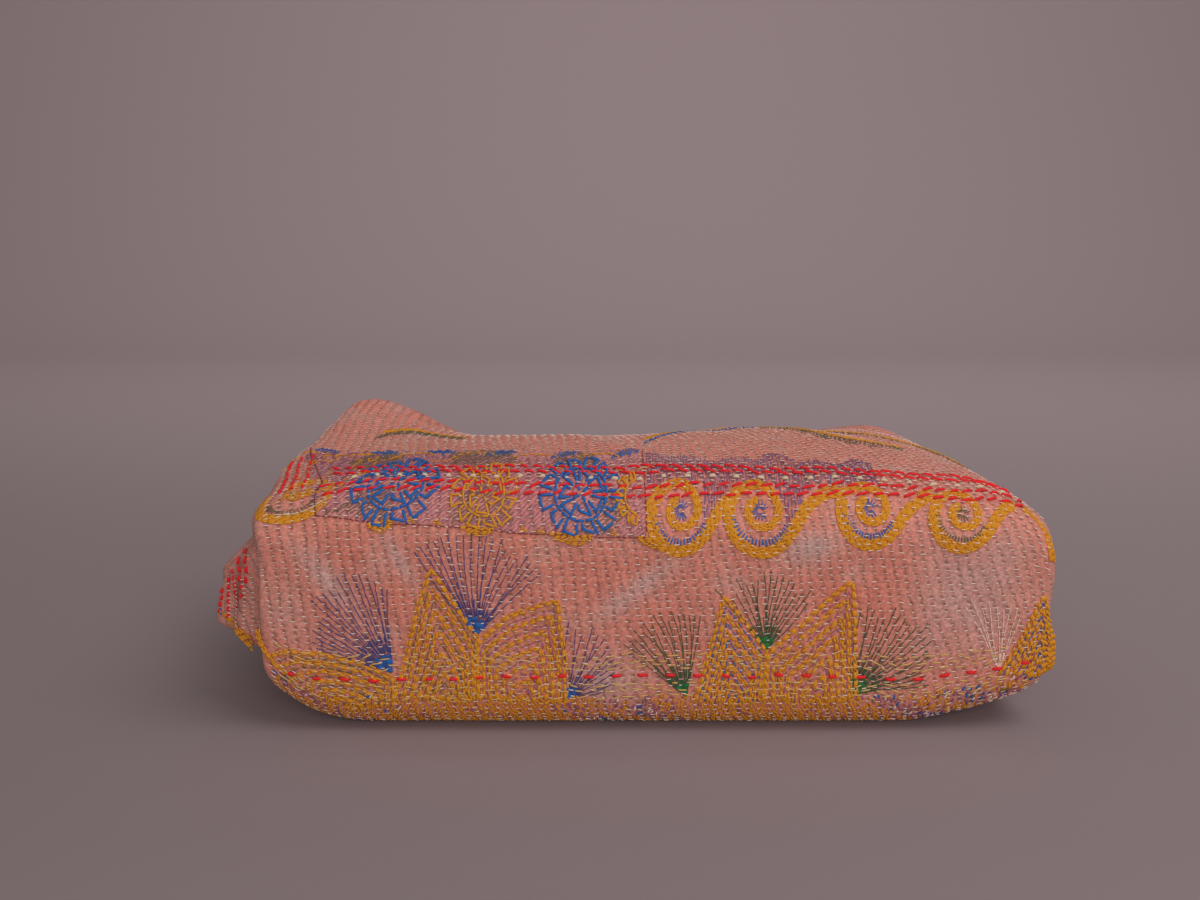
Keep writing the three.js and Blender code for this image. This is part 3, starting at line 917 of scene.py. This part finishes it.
# columns: middle along the seam (u, w), half width, depth
HALF_DISCS = [(-138, 131, 8.5, 5.5), (-87, 129, 10, 5.5), (-37, 126.5, 12, 6.5), (6, 126, 9, 6)]
for u, w, across, deep in HALF_DISCS:
    add("ochre", *hatched(ellipse(u, w + 1, across, deep, 180, 360, 16), 4, 0.95, 3.4, 0.25, 1.15, 0.95))
for u, w in ((-122, 130.5), (-108, 130), (-63, 128.5), (-53, 127.5), (-14, 127)):
    add("ochre", *hatched([(u - 3.5, w), (u + 3.5, w), (u + 0.5, w + 3.6)], 10, 0.95, 2.6, 0.2, 1.0, 0.95))
for k in range(6):
    u = -186 + 36 * k
    w = float(np.interp(u, *zip(*PATCH_TOP))) - 5
    leaf = ellipse(u, w, 9, 3.2, 0, 360, 20, -14 if k < 3 else 18)
    add("blue", *hatched(leaf, 64, 1.35, 3.6, 0.4, 0.85, 0.95))
    add("ochre", sewn(ellipse(u - 16, w - 4, 13, 6, 20, 160, 14), 4, 0.6, 1.2, 0.95, 0.3))
    add("ochre", sewn(ellipse(u + 3, w - 8, 11, 4, 200, 350, 14), 3, 1.6, 1.0, 0.95, 0.4))
for seam in (PATCH_BOTTOM, [PATCH_BOTTOM[0], (-176, 160), PATCH_TOP[0]]):
    add("seam", sewn(seam, 2.6, 0.5, 0.8, 0.9, 0.1))
add("seam", sewn([PATCH_BOTTOM[-1], PATCH_TOP[-1]], 2.6, 0.9, 0.7, 0.9, 0.1))
for _ in range(90):
    u, w = random.uniform(-196, -150), random.uniform(150, 196)
    a = random.uniform(0.2, 1.4)
    curl = [(u, w), polar(u, w, 3.4, a)]
    add("ochre" if random.uniform() < 0.62 else "mauve", sewn(curl, 4, 0.4, 1.0, 1.0, 0.3))
tell("the patch")

# %% [markdown]
# ### The left corner
# One more curl wraps the left corner, and red dashes climb beside it.

# %% The left corner
CORNER = (-187, 150)
corner = ellipse(*CORNER, 19, 13.5, 140, 480, 40)
add("ochre", *band(corner, 5.6, 7))
add("ochre", *hatched(ellipse(-186, 152, 10, 3.6, 0, 360, 20), 8, 1.0, 3.2, 0.25, 1.15, 0.7))
for a in np.radians(np.arange(190, 355, 9)):
    tick = [polar(*CORNER, r, a, 0.68) for r in (11.5, 15.2)]
    add("olive", sewn(tick, 3.5, 0.4, 0.75, 0.6))
add("cream", sewn(curve([(-196, 141), (-186, 139), (-176, 141), (-168, 147)]), 4.6, 0.2, 0.8, 1.3))
for u in (-206, -200, -193):
    climb = [(u, 196), (u + 7, 158)]
    add("red", sewn(climb, 4.6, 2.2, 1.9, 1.3, 0.4, random.uniform(0, 3)))
tell("the left corner")

# %% [markdown]
# ### The top
# Ochre arcs with blue and olive hatching cross the top, half hidden from the front.

# %% The top
TOP_ARCS = [
    ([(5, 191), (23, 215), (39, 224), (58, 226), (84, 231)], "blue"),
    ([(84, 228), (102, 222), (117, 207), (137, 198), (162, 197)], "olive"),
    ([(-164, 222), (-142, 230), (-120, 222), (-104, 213)], "olive"),
    ([(110, 232), (150, 226), (186, 212), (206, 200)], "olive"),
]
for points, colour in TOP_ARCS:
    arc_line = curve(points)
    add("ochre", *band(arc_line, 4.0, 4))
    for place in range(1, len(arc_line) - 1):
        u, w = arc_line[place]
        tick = [(u, w - 2), (u - 2.5, w - 8 - 2 * math.sin(place))]
        add(colour, sewn(tick, 3.6, 0.6, 0.75, 0.4, 0.2))
        add(colour, sewn([(u + 1.6, w - 2), (u - 0.9, w - 8)], 3.6, 0.6, 0.75, 0.4, 0.2))
tell("the top")

# %% [markdown]
# ### The red rows
# Two pairs of red rows run the length of the bundle over the front's upper edge, with big cream
# stitches between them.

# %% The red rows
# columns: height at the left end, left quarter, middle, right quarter and right end; lean
RED_ROWS = [
    (173, 164.5, 161.5, 160.5, 167, -0.28),
    (167, 160.5, 158.0, 157.5, 163, -0.32),
    (156, 152.5, 150.8, 150.6, 154, 0.26),
    (150, 149.0, 147.3, 147.2, 149.5, 0.30),
]
for left, left_quarter, middle, right_quarter, right, lean in RED_ROWS:
    line = curve([(-176, left), (-120, left_quarter), (-8, middle), (96, right_quarter), (210, right)])
    dashes = sewn(line, 6.3, 1.5, 1.75, 1.4, 0.4, random.uniform(0, 5))
    dashes[:, 3] += 0.75 * lean * dashes[:, 2]
    add("red", dashes)
dots = curve([(-160, 160), (-120, 156.5), (-8, 154.5), (96, 154), (208, 158)])
add("cream", sewn(dots, 3.4, 9.9, 2.7, 1.2, 0.3))
tell("the red rows")

# %% [markdown]
# ### The tucked end
# The inner wrap shows beside the front's left edge. Red dashes and ochre lines run down over it.


# %% The tucked end
def on_tucked_end(u, w, rise=0.0, relief=True):
    """A place on the front of the inner wrap, for w as its height in the even stack."""
    fold = np.where(u < REACH["inner front"][0] + HEM_INSET, HALF_CLOTH, STRIP_HALF)
    return settle(u, FRONT + STRIP_HALF + STRIP_PITCH - fold - rise, w)


# its reach along the bundle and up it, its thickness and its rise
PALE_STITCH = (2.4, 0.1, 0.8, 0.8)
# columns: place along the bundle, foot and top
TUCKED_DASHES = [(-236, 44, 74), (-231, 40, 88), (-226, 52, 96), (-221, 66, 104), (-217, 80, 108)]
red = [sewn([(u, low), (u + 2, high)], 5.5, 2.6, 2.0, 0.9, 0.35) for u, low, high in TUCKED_DASHES]
lines = [[(-238 + 3 * k, 48 - 4 * k), (-214, 30 - 3.5 * k)] for k in range(4)]
TUCKED = {
    "red": red,
    "ochre": [sewn(line, 4.4, 0.6, 1.5, 0.7, 0.2) for line in lines],
    "blue": [sewn([(-236, 50), (-235, 42)], 4, 0.3, 1.6, 0.6, 0.2)],
    "pale": [[(u, w, *PALE_STITCH)] for u in np.arange(-230, -213, 5.5) for w in np.arange(38, 88, 4.2)],
}

print({colour: sum(len(g) for g in groups) for colour, groups in THREADS.items()})

# %% [markdown]
# ## Sewing
# Geometry Nodes puts one small thread on each stitch's place, turns it along the stitch and off the
# cloth, and stretches it to the stitch's length.


# %% Sewing
THREAD_SIDES = 4
THREAD_FLATNESS = 0.7


class NodeKit:
    """Adds nodes to a tree and joins them."""

    def __init__(self, tree, sockets=()):
        """Each of a group's own sockets is a name, INPUT or OUTPUT, and a kind."""
        self.tree = tree
        for name, way, kind in sockets:
            tree.interface.new_socket(name, in_out=way, socket_type="NodeSocket" + kind)

    def node(self, kind, inputs=(), **settings):
        """A node with its settings. An input takes a plain value or another node's output."""
        made = self.tree.nodes.new(kind)
        for name, value in settings.items():
            setattr(made, name, value)
        for name, value in dict(inputs).items():
            if hasattr(value, "links"):
                self.tree.links.new(value, made.inputs[name])
            else:
                made.inputs[name].default_value = value
        return made

    def out(self, kind, inputs=(), **settings):
        """The first output of such a node."""
        return self.node(kind, inputs, **settings).outputs[0]


def thread_shape():
    """A thread from -0.5 to 0.5 along X, whose ends dive into the cloth."""
    rings = [(-0.5, -0.62, 0.7), (-0.3, 0.0, 1.0), (0.3, 0.0, 1.0), (0.5, -0.62, 0.7)]
    places, faces = [], []
    for x, drop, size in rings:
        for k in range(THREAD_SIDES):
            a = 2 * np.pi * (k + 0.5) / THREAD_SIDES
            places.append((x, 0.5 * size * math.cos(a), drop + 0.5 * size * math.sin(a)))
    for ring in range(0, len(places) - THREAD_SIDES, THREAD_SIDES):
        for k in range(THREAD_SIDES):
            a, b = ring + k, ring + (k + 1) % THREAD_SIDES
            faces.append((a + THREAD_SIDES, b + THREAD_SIDES, b, a))
    faces.append(tuple(range(THREAD_SIDES)))
    faces.append(tuple(range(len(places) - 1, len(places) - 1 - THREAD_SIDES, -1)))
    return bpy.data.objects.new("thread_shape", smooth_mesh("thread_shape", places, faces))


def sewing_tree():
    """The node group that sews: a thread on each point, turned, stretched and made real."""
    tree = bpy.data.node_groups.new("sew", "GeometryNodeTree")
    ways = [("Geometry", "INPUT", "Geometry"), ("Thread", "INPUT", "Object"), ("Height", "INPUT", "Float")]
    kit = NodeKit(tree, [*ways, ("Material", "INPUT", "Material"), ("Geometry", "OUTPUT", "Geometry")])
    source = kit.node("NodeGroupInput").outputs

    def named(name, kind="FLOAT"):
        node = kit.node("GeometryNodeInputNamedAttribute", {"Name": name}, data_type=kind)
        return node.outputs["Attribute"]

    shape = kit.node("GeometryNodeObjectInfo", {"Object": source["Thread"]}).outputs["Geometry"]
    align = "FunctionNodeAlignRotationToVector"
    turned = kit.out(align, {"Vector": named("along", "FLOAT_VECTOR")}, axis="X")
    off = {"Rotation": turned, "Vector": named("off", "FLOAT_VECTOR")}
    turned = kit.out(align, off, axis="Z", pivot_axis="X")
    thick = named("thick")
    height = kit.out("ShaderNodeMath", {0: thick, 1: source["Height"]}, operation="MULTIPLY")
    size = kit.out("ShaderNodeCombineXYZ", {"X": named("reach"), "Y": thick, "Z": height})
    laid = {"Points": source["Geometry"], "Instance": shape, "Rotation": turned, "Scale": size}
    laid = kit.out("GeometryNodeInstanceOnPoints", laid)
    laid = kit.out("GeometryNodeRealizeInstances", {"Geometry": laid})
    laid = kit.out("GeometryNodeSetMaterial", {"Geometry": laid, "Material": source["Material"]})
    kit.node("NodeGroupOutput", {"Geometry": laid})
    return tree


def normal_at(where, u, w):
    """The direction off the cloth, without its furrows."""
    across = where(u + 1.0, w, 0, False) - where(u - 1.0, w, 0, False)
    up = where(u, w + 1.0, 0, False) - where(u, w - 1.0, 0, False)
    normal = np.cross(across, up)
    return normal / np.linalg.norm(normal, axis=-1, keepdims=True)


def sew(name, rows, material, tree, thread, where=on_face):
    """Lays rows of stitches on the cloth as one mesh."""
    middle, half, thick, rise = rows[:, :2], rows[:, 2:4] / 2, rows[:, 4], rows[:, 5]
    start, end, between = (where(*place.T, rise) for place in (middle - half, middle + half, middle))
    reach = np.linalg.norm(end - start, axis=1)
    mesh = bpy.data.meshes.new(name)
    mesh.from_pydata(((start + end + 2 * between) / 4 * MM).tolist(), [], [])
    keep_numbers(mesh, "along", (end - start) / reach[:, None], "FLOAT_VECTOR", "vector")
    keep_numbers(mesh, "off", normal_at(where, *middle.T), "FLOAT_VECTOR", "vector")
    keep_numbers(mesh, "reach", reach * MM)
    keep_numbers(mesh, "thick", thick * MM)
    piece = show(name, mesh)
    modifier = piece.modifiers.new("sew", "NODES")
    modifier.node_group = tree
    inputs = {"Thread": thread, "Height": THREAD_FLATNESS, "Material": material}
    for item in tree.interface.items_tree:
        if item.name in inputs:
            modifier[item.identifier] = inputs[item.name]
    ready = piece.evaluated_get(bpy.context.evaluated_depsgraph_get())
    piece.data = bpy.data.meshes.new_from_object(ready)
    piece.modifiers.clear()
    bpy.data.meshes.remove(mesh)
    triangles = sum(len(face.vertices) - 2 for face in piece.data.polygons)
    print(name, len(rows), "stitches,", triangles, "triangles")
    return piece


# %% [markdown]
# ## Stage and light
# A folded quilt is shown best on plain paper that sweeps up behind it without a corner. One lamp
# hangs over the right, one fills the front, and one is turned away from the cloth to the paper's
# wall, because its light would flatten the furrows. The paper has painted light: its colour turns
# paler from its floor to its wall, in place of a stronger lamp there.

# %% Stage and light
def plain_material(name, colour, roughness):
    """One even colour."""
    material = bpy.data.materials.new(name)
    material.use_nodes = True
    shader = material.node_tree.nodes["Principled BSDF"]
    shader.inputs["Base Color"].default_value = (*colour, 1)
    shader.inputs["Roughness"].default_value = roughness
    return material


def painted_light_paper_material(floor, wall_with_painted_light, start, end):
    """Paper with painted light: it turns paler from its floor to its wall, between two places along Y in
    metres.
    """
    material = plain_material("paper_with_painted_light", floor, 0.9)
    kit = NodeKit(material.node_tree)
    place = kit.node("ShaderNodeTexCoord").outputs["Object"]
    along_y = kit.node("ShaderNodeSeparateXYZ", {0: place}).outputs["Y"]
    painted_light_share = {"Value": along_y, "From Min": start, "From Max": end}
    painted_light_share = kit.out("ShaderNodeMapRange", painted_light_share, interpolation_type="SMOOTHSTEP")
    colours = {"Factor": painted_light_share, 6: (*floor, 1), 7: (*wall_with_painted_light, 1)}
    mix = kit.node("ShaderNodeMix", colours, data_type="RGBA")
    shader = material.node_tree.nodes["Principled BSDF"]
    kit.tree.links.new(mix.outputs[2], shader.inputs["Base Color"])
    return material


# the wall's colour is paler than the floor's: painted light, in place of a stronger lamp there
PAPER_FLOOR, PAPER_WALL_WITH_PAINTED_LIGHT = (0.335, 0.258, 0.264), (0.54, 0.42, 0.43)
PAINTED_LIGHT_FROM, PAINTED_LIGHT_TO = 0.15, 1.5
SWEEP_HALF_WIDTH = 2.6
SWEEP_FRONT = -1.6
SWEEP_BACK = 1.5
SWEEP_RADIUS = 0.9
SWEEP_HEIGHT = 2.6
BEND_STEPS = 16
profile = [(SWEEP_FRONT, 0.0)]
for i in range(BEND_STEPS + 1):
    a = i / BEND_STEPS * math.pi / 2
    profile.append((SWEEP_BACK + SWEEP_RADIUS * math.sin(a), SWEEP_RADIUS * (1 - math.cos(a))))
profile.append((SWEEP_BACK + SWEEP_RADIUS, SWEEP_HEIGHT))
vertices = [(x, y, z) for y, z in profile for x in (-SWEEP_HALF_WIDTH, SWEEP_HALF_WIDTH)]
quads = [(2 * i, 2 * i + 1, 2 * i + 3, 2 * i + 2) for i in range(len(profile) - 1)]
sweep = show("sweep", smooth_mesh("sweep", vertices, quads))
sweep.data.materials.append(painted_light_paper_material(PAPER_FLOOR, PAPER_WALL_WITH_PAINTED_LIGHT, PAINTED_LIGHT_FROM, PAINTED_LIGHT_TO))

# columns: name, place, what it points at, its size in metres and its power in watts
LIGHTS = [
    ("key", (0.8, -0.6, 1.6), (0.1, 0.05, 0.1), (1.2, 1.0), 10),
    ("front", (0.2, -1.7, 0.7), (0, 0, 0.08), (1.6, 0.9), 11.5),
    ("back", (0.1, 0.25, 1.4), (0.1, 1.6, 0.95), (2.2, 0.6), 10),
]
for name, place, target, size, power in LIGHTS:
    data = bpy.data.lights.new(name, "AREA")
    data.shape = "RECTANGLE"
    data.size, data.size_y = size
    data.energy = power
    light = show(name, data)
    light.location = place
    x, y, z = np.array(target) - np.array(place)
    light.rotation_euler = (math.atan2(math.hypot(x, y), -z), 0, math.atan2(y, x) - math.pi / 2)
world = bpy.data.worlds.new("world")
world.use_nodes = True
background = world.node_tree.nodes["Background"].inputs
background["Color"].default_value = (1, 0.96, 0.97, 1)
background["Strength"].default_value = 0.18
bpy.context.scene.world = world
bpy.context.scene.view_settings.view_transform = "Standard"
print("lights:", [name for name, *_ in LIGHTS])

# %% [markdown]
# ## Cotton
# One shader group gives the quilted cotton its look. It reads the cloth's own coordinates: furrows
# and rows are counted in one map, and the weave and blotches follow the other.


# %% Cotton
def srgb(*values):
    """A colour from its red, green and blue as 0 to 255."""
    return tuple(((v / 255 + 0.055) / 1.055) ** 2.4 for v in values)


class CottonKit(NodeKit):
    """The kinds of node that the cotton is worked out with."""

    def calc(self, operation, *values, clamp=False):
        return self.out("ShaderNodeMath", enumerate(values), operation=operation, use_clamp=clamp)

    def times(self, a, b, clamp=False):
        return self.calc("MULTIPLY", a, b, clamp=clamp)

    def plus(self, a, b):
        return self.calc("ADD", a, b)

    def minus(self, a, b):
        return self.calc("SUBTRACT", a, b)

    def ramp(self, value, low, high, to_low=0.0, to_high=1.0):
        """A number that goes softly from one value to another between low and high."""
        inputs = {"Value": value, "From Min": low, "From Max": high, "To Min": to_low, "To Max": to_high}
        return self.out("ShaderNodeMapRange", inputs, interpolation_type="SMOOTHSTEP")

    def mix(self, factor, a, b, blend="MIX"):
        inputs = {"Factor": factor, 6: a, 7: b}
        return self.node("ShaderNodeMix", inputs, data_type="RGBA", blend_type=blend).outputs[2]

    def number(self, name):
        return self.node("ShaderNodeAttribute", attribute_name=name).outputs["Fac"]

    def from_whole(self, value):
        """How far a count lies from the nearest whole number: 0 to 0.5."""
        return self.minus(0.5, self.calc("ABSOLUTE", self.minus(self.calc("FRACT", value), 0.5)))

    def darken(self, colour_or_shade, mask, amount):
        return self.times(colour_or_shade, self.minus(1.0, self.times(mask, amount)))


def cotton_group():
    """Colour and relief of quilted cotton, from its four colours and the cloth's own maps, with shade
    painted into its furrows and stitch dimples.
    """
    sockets = [(name, "INPUT", "Color") for name in ("Dye", "Faded", "Deep", "Thread")]
    sockets += [("Color", "OUTPUT", "Color"), ("Normal", "OUTPUT", "Vector")]
    kit = CottonKit(bpy.data.node_groups.new("quilted_cotton", "ShaderNodeTree"), sockets)
    dyes = kit.node("NodeGroupInput").outputs
    cloth = kit.out("ShaderNodeUVMap", uv_map="cloth")
    stitching = kit.out("ShaderNodeUVMap", uv_map="stitching")
    counts = kit.node("ShaderNodeSeparateXYZ", {0: stitching}).outputs

    def noise(scale, detail=2.0):
        """Noise over the cloth. The scale is about how many blotches there are in a metre."""
        inputs = {"Vector": cloth, "Scale": scale, "Detail": detail}
        return kit.node("ShaderNodeTexNoise", inputs).outputs["Fac"]

    # furrows and rows, with a dimple where a stitch pulls the cloth in
    wander = kit.times(kit.minus(noise(160), 0.5), 0.35)
    furrow, row = kit.from_whole(kit.plus(counts[0], wander)), kit.from_whole(counts[1])
    groove = kit.ramp(furrow, 0.0, 0.2, 1.0, 0.0)
    dimple = kit.times(kit.ramp(furrow, 0.0, 0.3, 1.0, 0.0), kit.ramp(row, 0.05, 0.5, 1.0, 0.0))
    painted = kit.times(kit.ramp(furrow, 0.16, 0.22, 1.0, 0.0), kit.ramp(row, 0.07, 0.12, 1.0, 0.0))
    painted = kit.times(painted, kit.number("painted"))

    # dye: deeper blotches, then wear, then the weave's shade, and painted shade in the furrows and the
    # stitch dimples
    colour = kit.mix(kit.ramp(noise(17, 3), 0.35, 0.7), dyes["Dye"], dyes["Deep"])
    colour = kit.mix(kit.times(kit.number("deep"), 0.8), colour, dyes["Deep"])
    faded = kit.times(kit.number("fade"), kit.ramp(noise(60, 3), 0.2, 0.6, 0.7, 1.25), clamp=True)
    patchy = kit.times(kit.ramp(noise(31, 4), 0.5, 0.72), 0.4)
    colour = kit.mix(kit.calc("MAXIMUM", faded, patchy), colour, dyes["Faded"])
    weave = kit.ramp(noise(520, 3), 0.3, 0.7, 0.8, 1.16)
    blotches = kit.ramp(noise(130, 3), 0.3, 0.7, 0.9, 1.07)
    # painted shade: the cloth is darkened along the furrow floors, where shade would fall
    painted_furrow_shade = kit.times(groove, kit.ramp(noise(75), 0.3, 0.62, 0.45, 1.0))
    # the stitch dimples are darkened too: painted shade in the hollows
    shade = kit.darken(kit.darken(kit.times(weave, blotches), painted_furrow_shade, 0.05), dimple, 0.22)
    grey = kit.out("ShaderNodeCombineXYZ", {0: shade, 1: shade, 2: shade})
    colour = kit.mix(painted, kit.mix(1.0, colour, grey, "MULTIPLY"), dyes["Thread"])

    # relief: what stands up or lies low, in shares of a millimetre
    height = kit.plus(kit.times(groove, -0.28), kit.times(dimple, -0.55))
    for raised, amount in ((noise(700), 0.35), (noise(190), 0.5), (painted, 0.5)):
        height = kit.plus(height, kit.times(raised, amount))
    normal = kit.out("ShaderNodeBump", {"Strength": 0.9, "Distance": MM, "Height": height})
    kit.node("NodeGroupOutput", {"Color": colour, "Normal": normal})
    return kit.tree


STITCH_COLOUR = srgb(226, 190, 172)


def cotton_material(name, group, dye, faded, deep):
    """Matt cotton with a little sheen, in its own dye."""
    material = plain_material(name, dye, 0.95)
    shader = material.node_tree.nodes["Principled BSDF"].inputs
    shader["Sheen Weight"].default_value = 0.03
    shader["Sheen Roughness"].default_value = 0.6
    dyes = {"Dye": dye, "Faded": faded, "Deep": deep, "Thread": STITCH_COLOUR}
    kit = NodeKit(material.node_tree)
    look = kit.node("ShaderNodeGroup", {k: (*v, 1) for k, v in dyes.items()}, node_tree=group).outputs
    kit.tree.links.new(look["Color"], shader["Base Color"])
    kit.tree.links.new(look["Normal"], shader["Normal"])
    return material


group = cotton_group()
coral = cotton_material("coral_cotton", group, (0.77, 0.285, 0.215), (0.68, 0.42, 0.37), (0.78, 0.25, 0.175))
mauve = cotton_material("mauve_cotton", group, (0.70, 0.28, 0.245), (0.64, 0.34, 0.31), (0.66, 0.23, 0.21))
quilt.data.materials.append(coral)
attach(quilt, "root")
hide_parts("quilt")

# %% [markdown]
# ## The patch's cloth
# The mauve patch is a thin sheet that follows the furrows and turns down into them at its edges.


# %% The patch's cloth
PATCH_STEPS = (150, 46)
PATCH_RISE, SEAM_RISE = 0.4, -0.2


def patch_mesh():
    """A grid between the patch's lower and upper edge."""
    s, t = np.meshgrid(*(np.linspace(0, 1, steps + 1) for steps in PATCH_STEPS), indexing="ij")

    def edge_point(edge):
        shares = np.linspace(0, 1, len(edge))
        return np.stack([np.interp(s, shares, numbers) for numbers in zip(*edge)], axis=-1)

    flat = edge_point(PATCH_BOTTOM) * (1 - t[..., None]) + edge_point(PATCH_TOP) * t[..., None]
    u, w = flat[..., 0].ravel(), over_edge(flat[..., 1]).ravel()
    rim = np.minimum.reduce([s, 1 - s, t, 1 - t]).ravel() < 1e-9
    places = on_face(u, w, np.where(rim, SEAM_RISE, PATCH_RISE)) * MM
    index = np.arange(s.size).reshape(s.shape)
    quads = np.stack([index[:-1, :-1], index[1:, :-1], index[1:, 1:], index[:-1, 1:]], axis=-1)
    mesh = smooth_mesh("patch_cloth", places.tolist(), quads.reshape(-1, 4).tolist())
    cloth = np.stack([u, w], axis=1)
    add_cloth_maps(mesh, cloth)
    add_wear(mesh, cloth, np.zeros(len(u), bool))
    return mesh


patch = show("patch_cloth", patch_mesh())
patch.data.materials.append(mauve)
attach(patch, "root")

# %% [markdown]
# ## Sewing it all on
# Cotton threads are dyed before they are sewn, so each colour has one plain matt material. A long
# row of stitches is split into several meshes, which keeps each of them light enough to edit.

# %% Threads in their colours
COLOURS = {
    "pale": srgb(250, 220, 204),
    "ochre": srgb(232, 154, 28),
    "gold": srgb(228, 184, 112),
    "red": srgb(255, 30, 38),
    "cream": srgb(236, 212, 176),
    "blue": srgb(38, 106, 184),
    "green": srgb(38, 118, 62),
    "moss": srgb(70, 96, 62),
    "indigo": srgb(72, 74, 136),
    "olive": srgb(124, 112, 80),
    "mauve": srgb(172, 102, 128),
    "violet": srgb(104, 92, 156),
    "seam": srgb(140, 52, 50),
}
tree, thread = sewing_tree(), thread_shape()
MOST_STITCHES = 6800
inks = {colour: plain_material("thread_" + colour, value, 0.75) for colour, value in COLOURS.items()}
pieces = []
for colour, groups in THREADS.items():
    rows = np.concatenate(groups)
    for number, first in enumerate(range(0, len(rows), MOST_STITCHES), 1):
        part = rows[first : first + MOST_STITCHES]
        pieces.append(sew(f"{colour}_stitches_{number}", part, inks[colour], tree, thread))
for colour, groups in TUCKED.items():
    rows = np.concatenate(groups)
    pieces.append(sew(f"{colour}_tucked_stitches", rows, inks[colour], tree, thread, on_tucked_end))
for piece in pieces:
    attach(piece, "root")
bpy.data.objects.remove(thread)
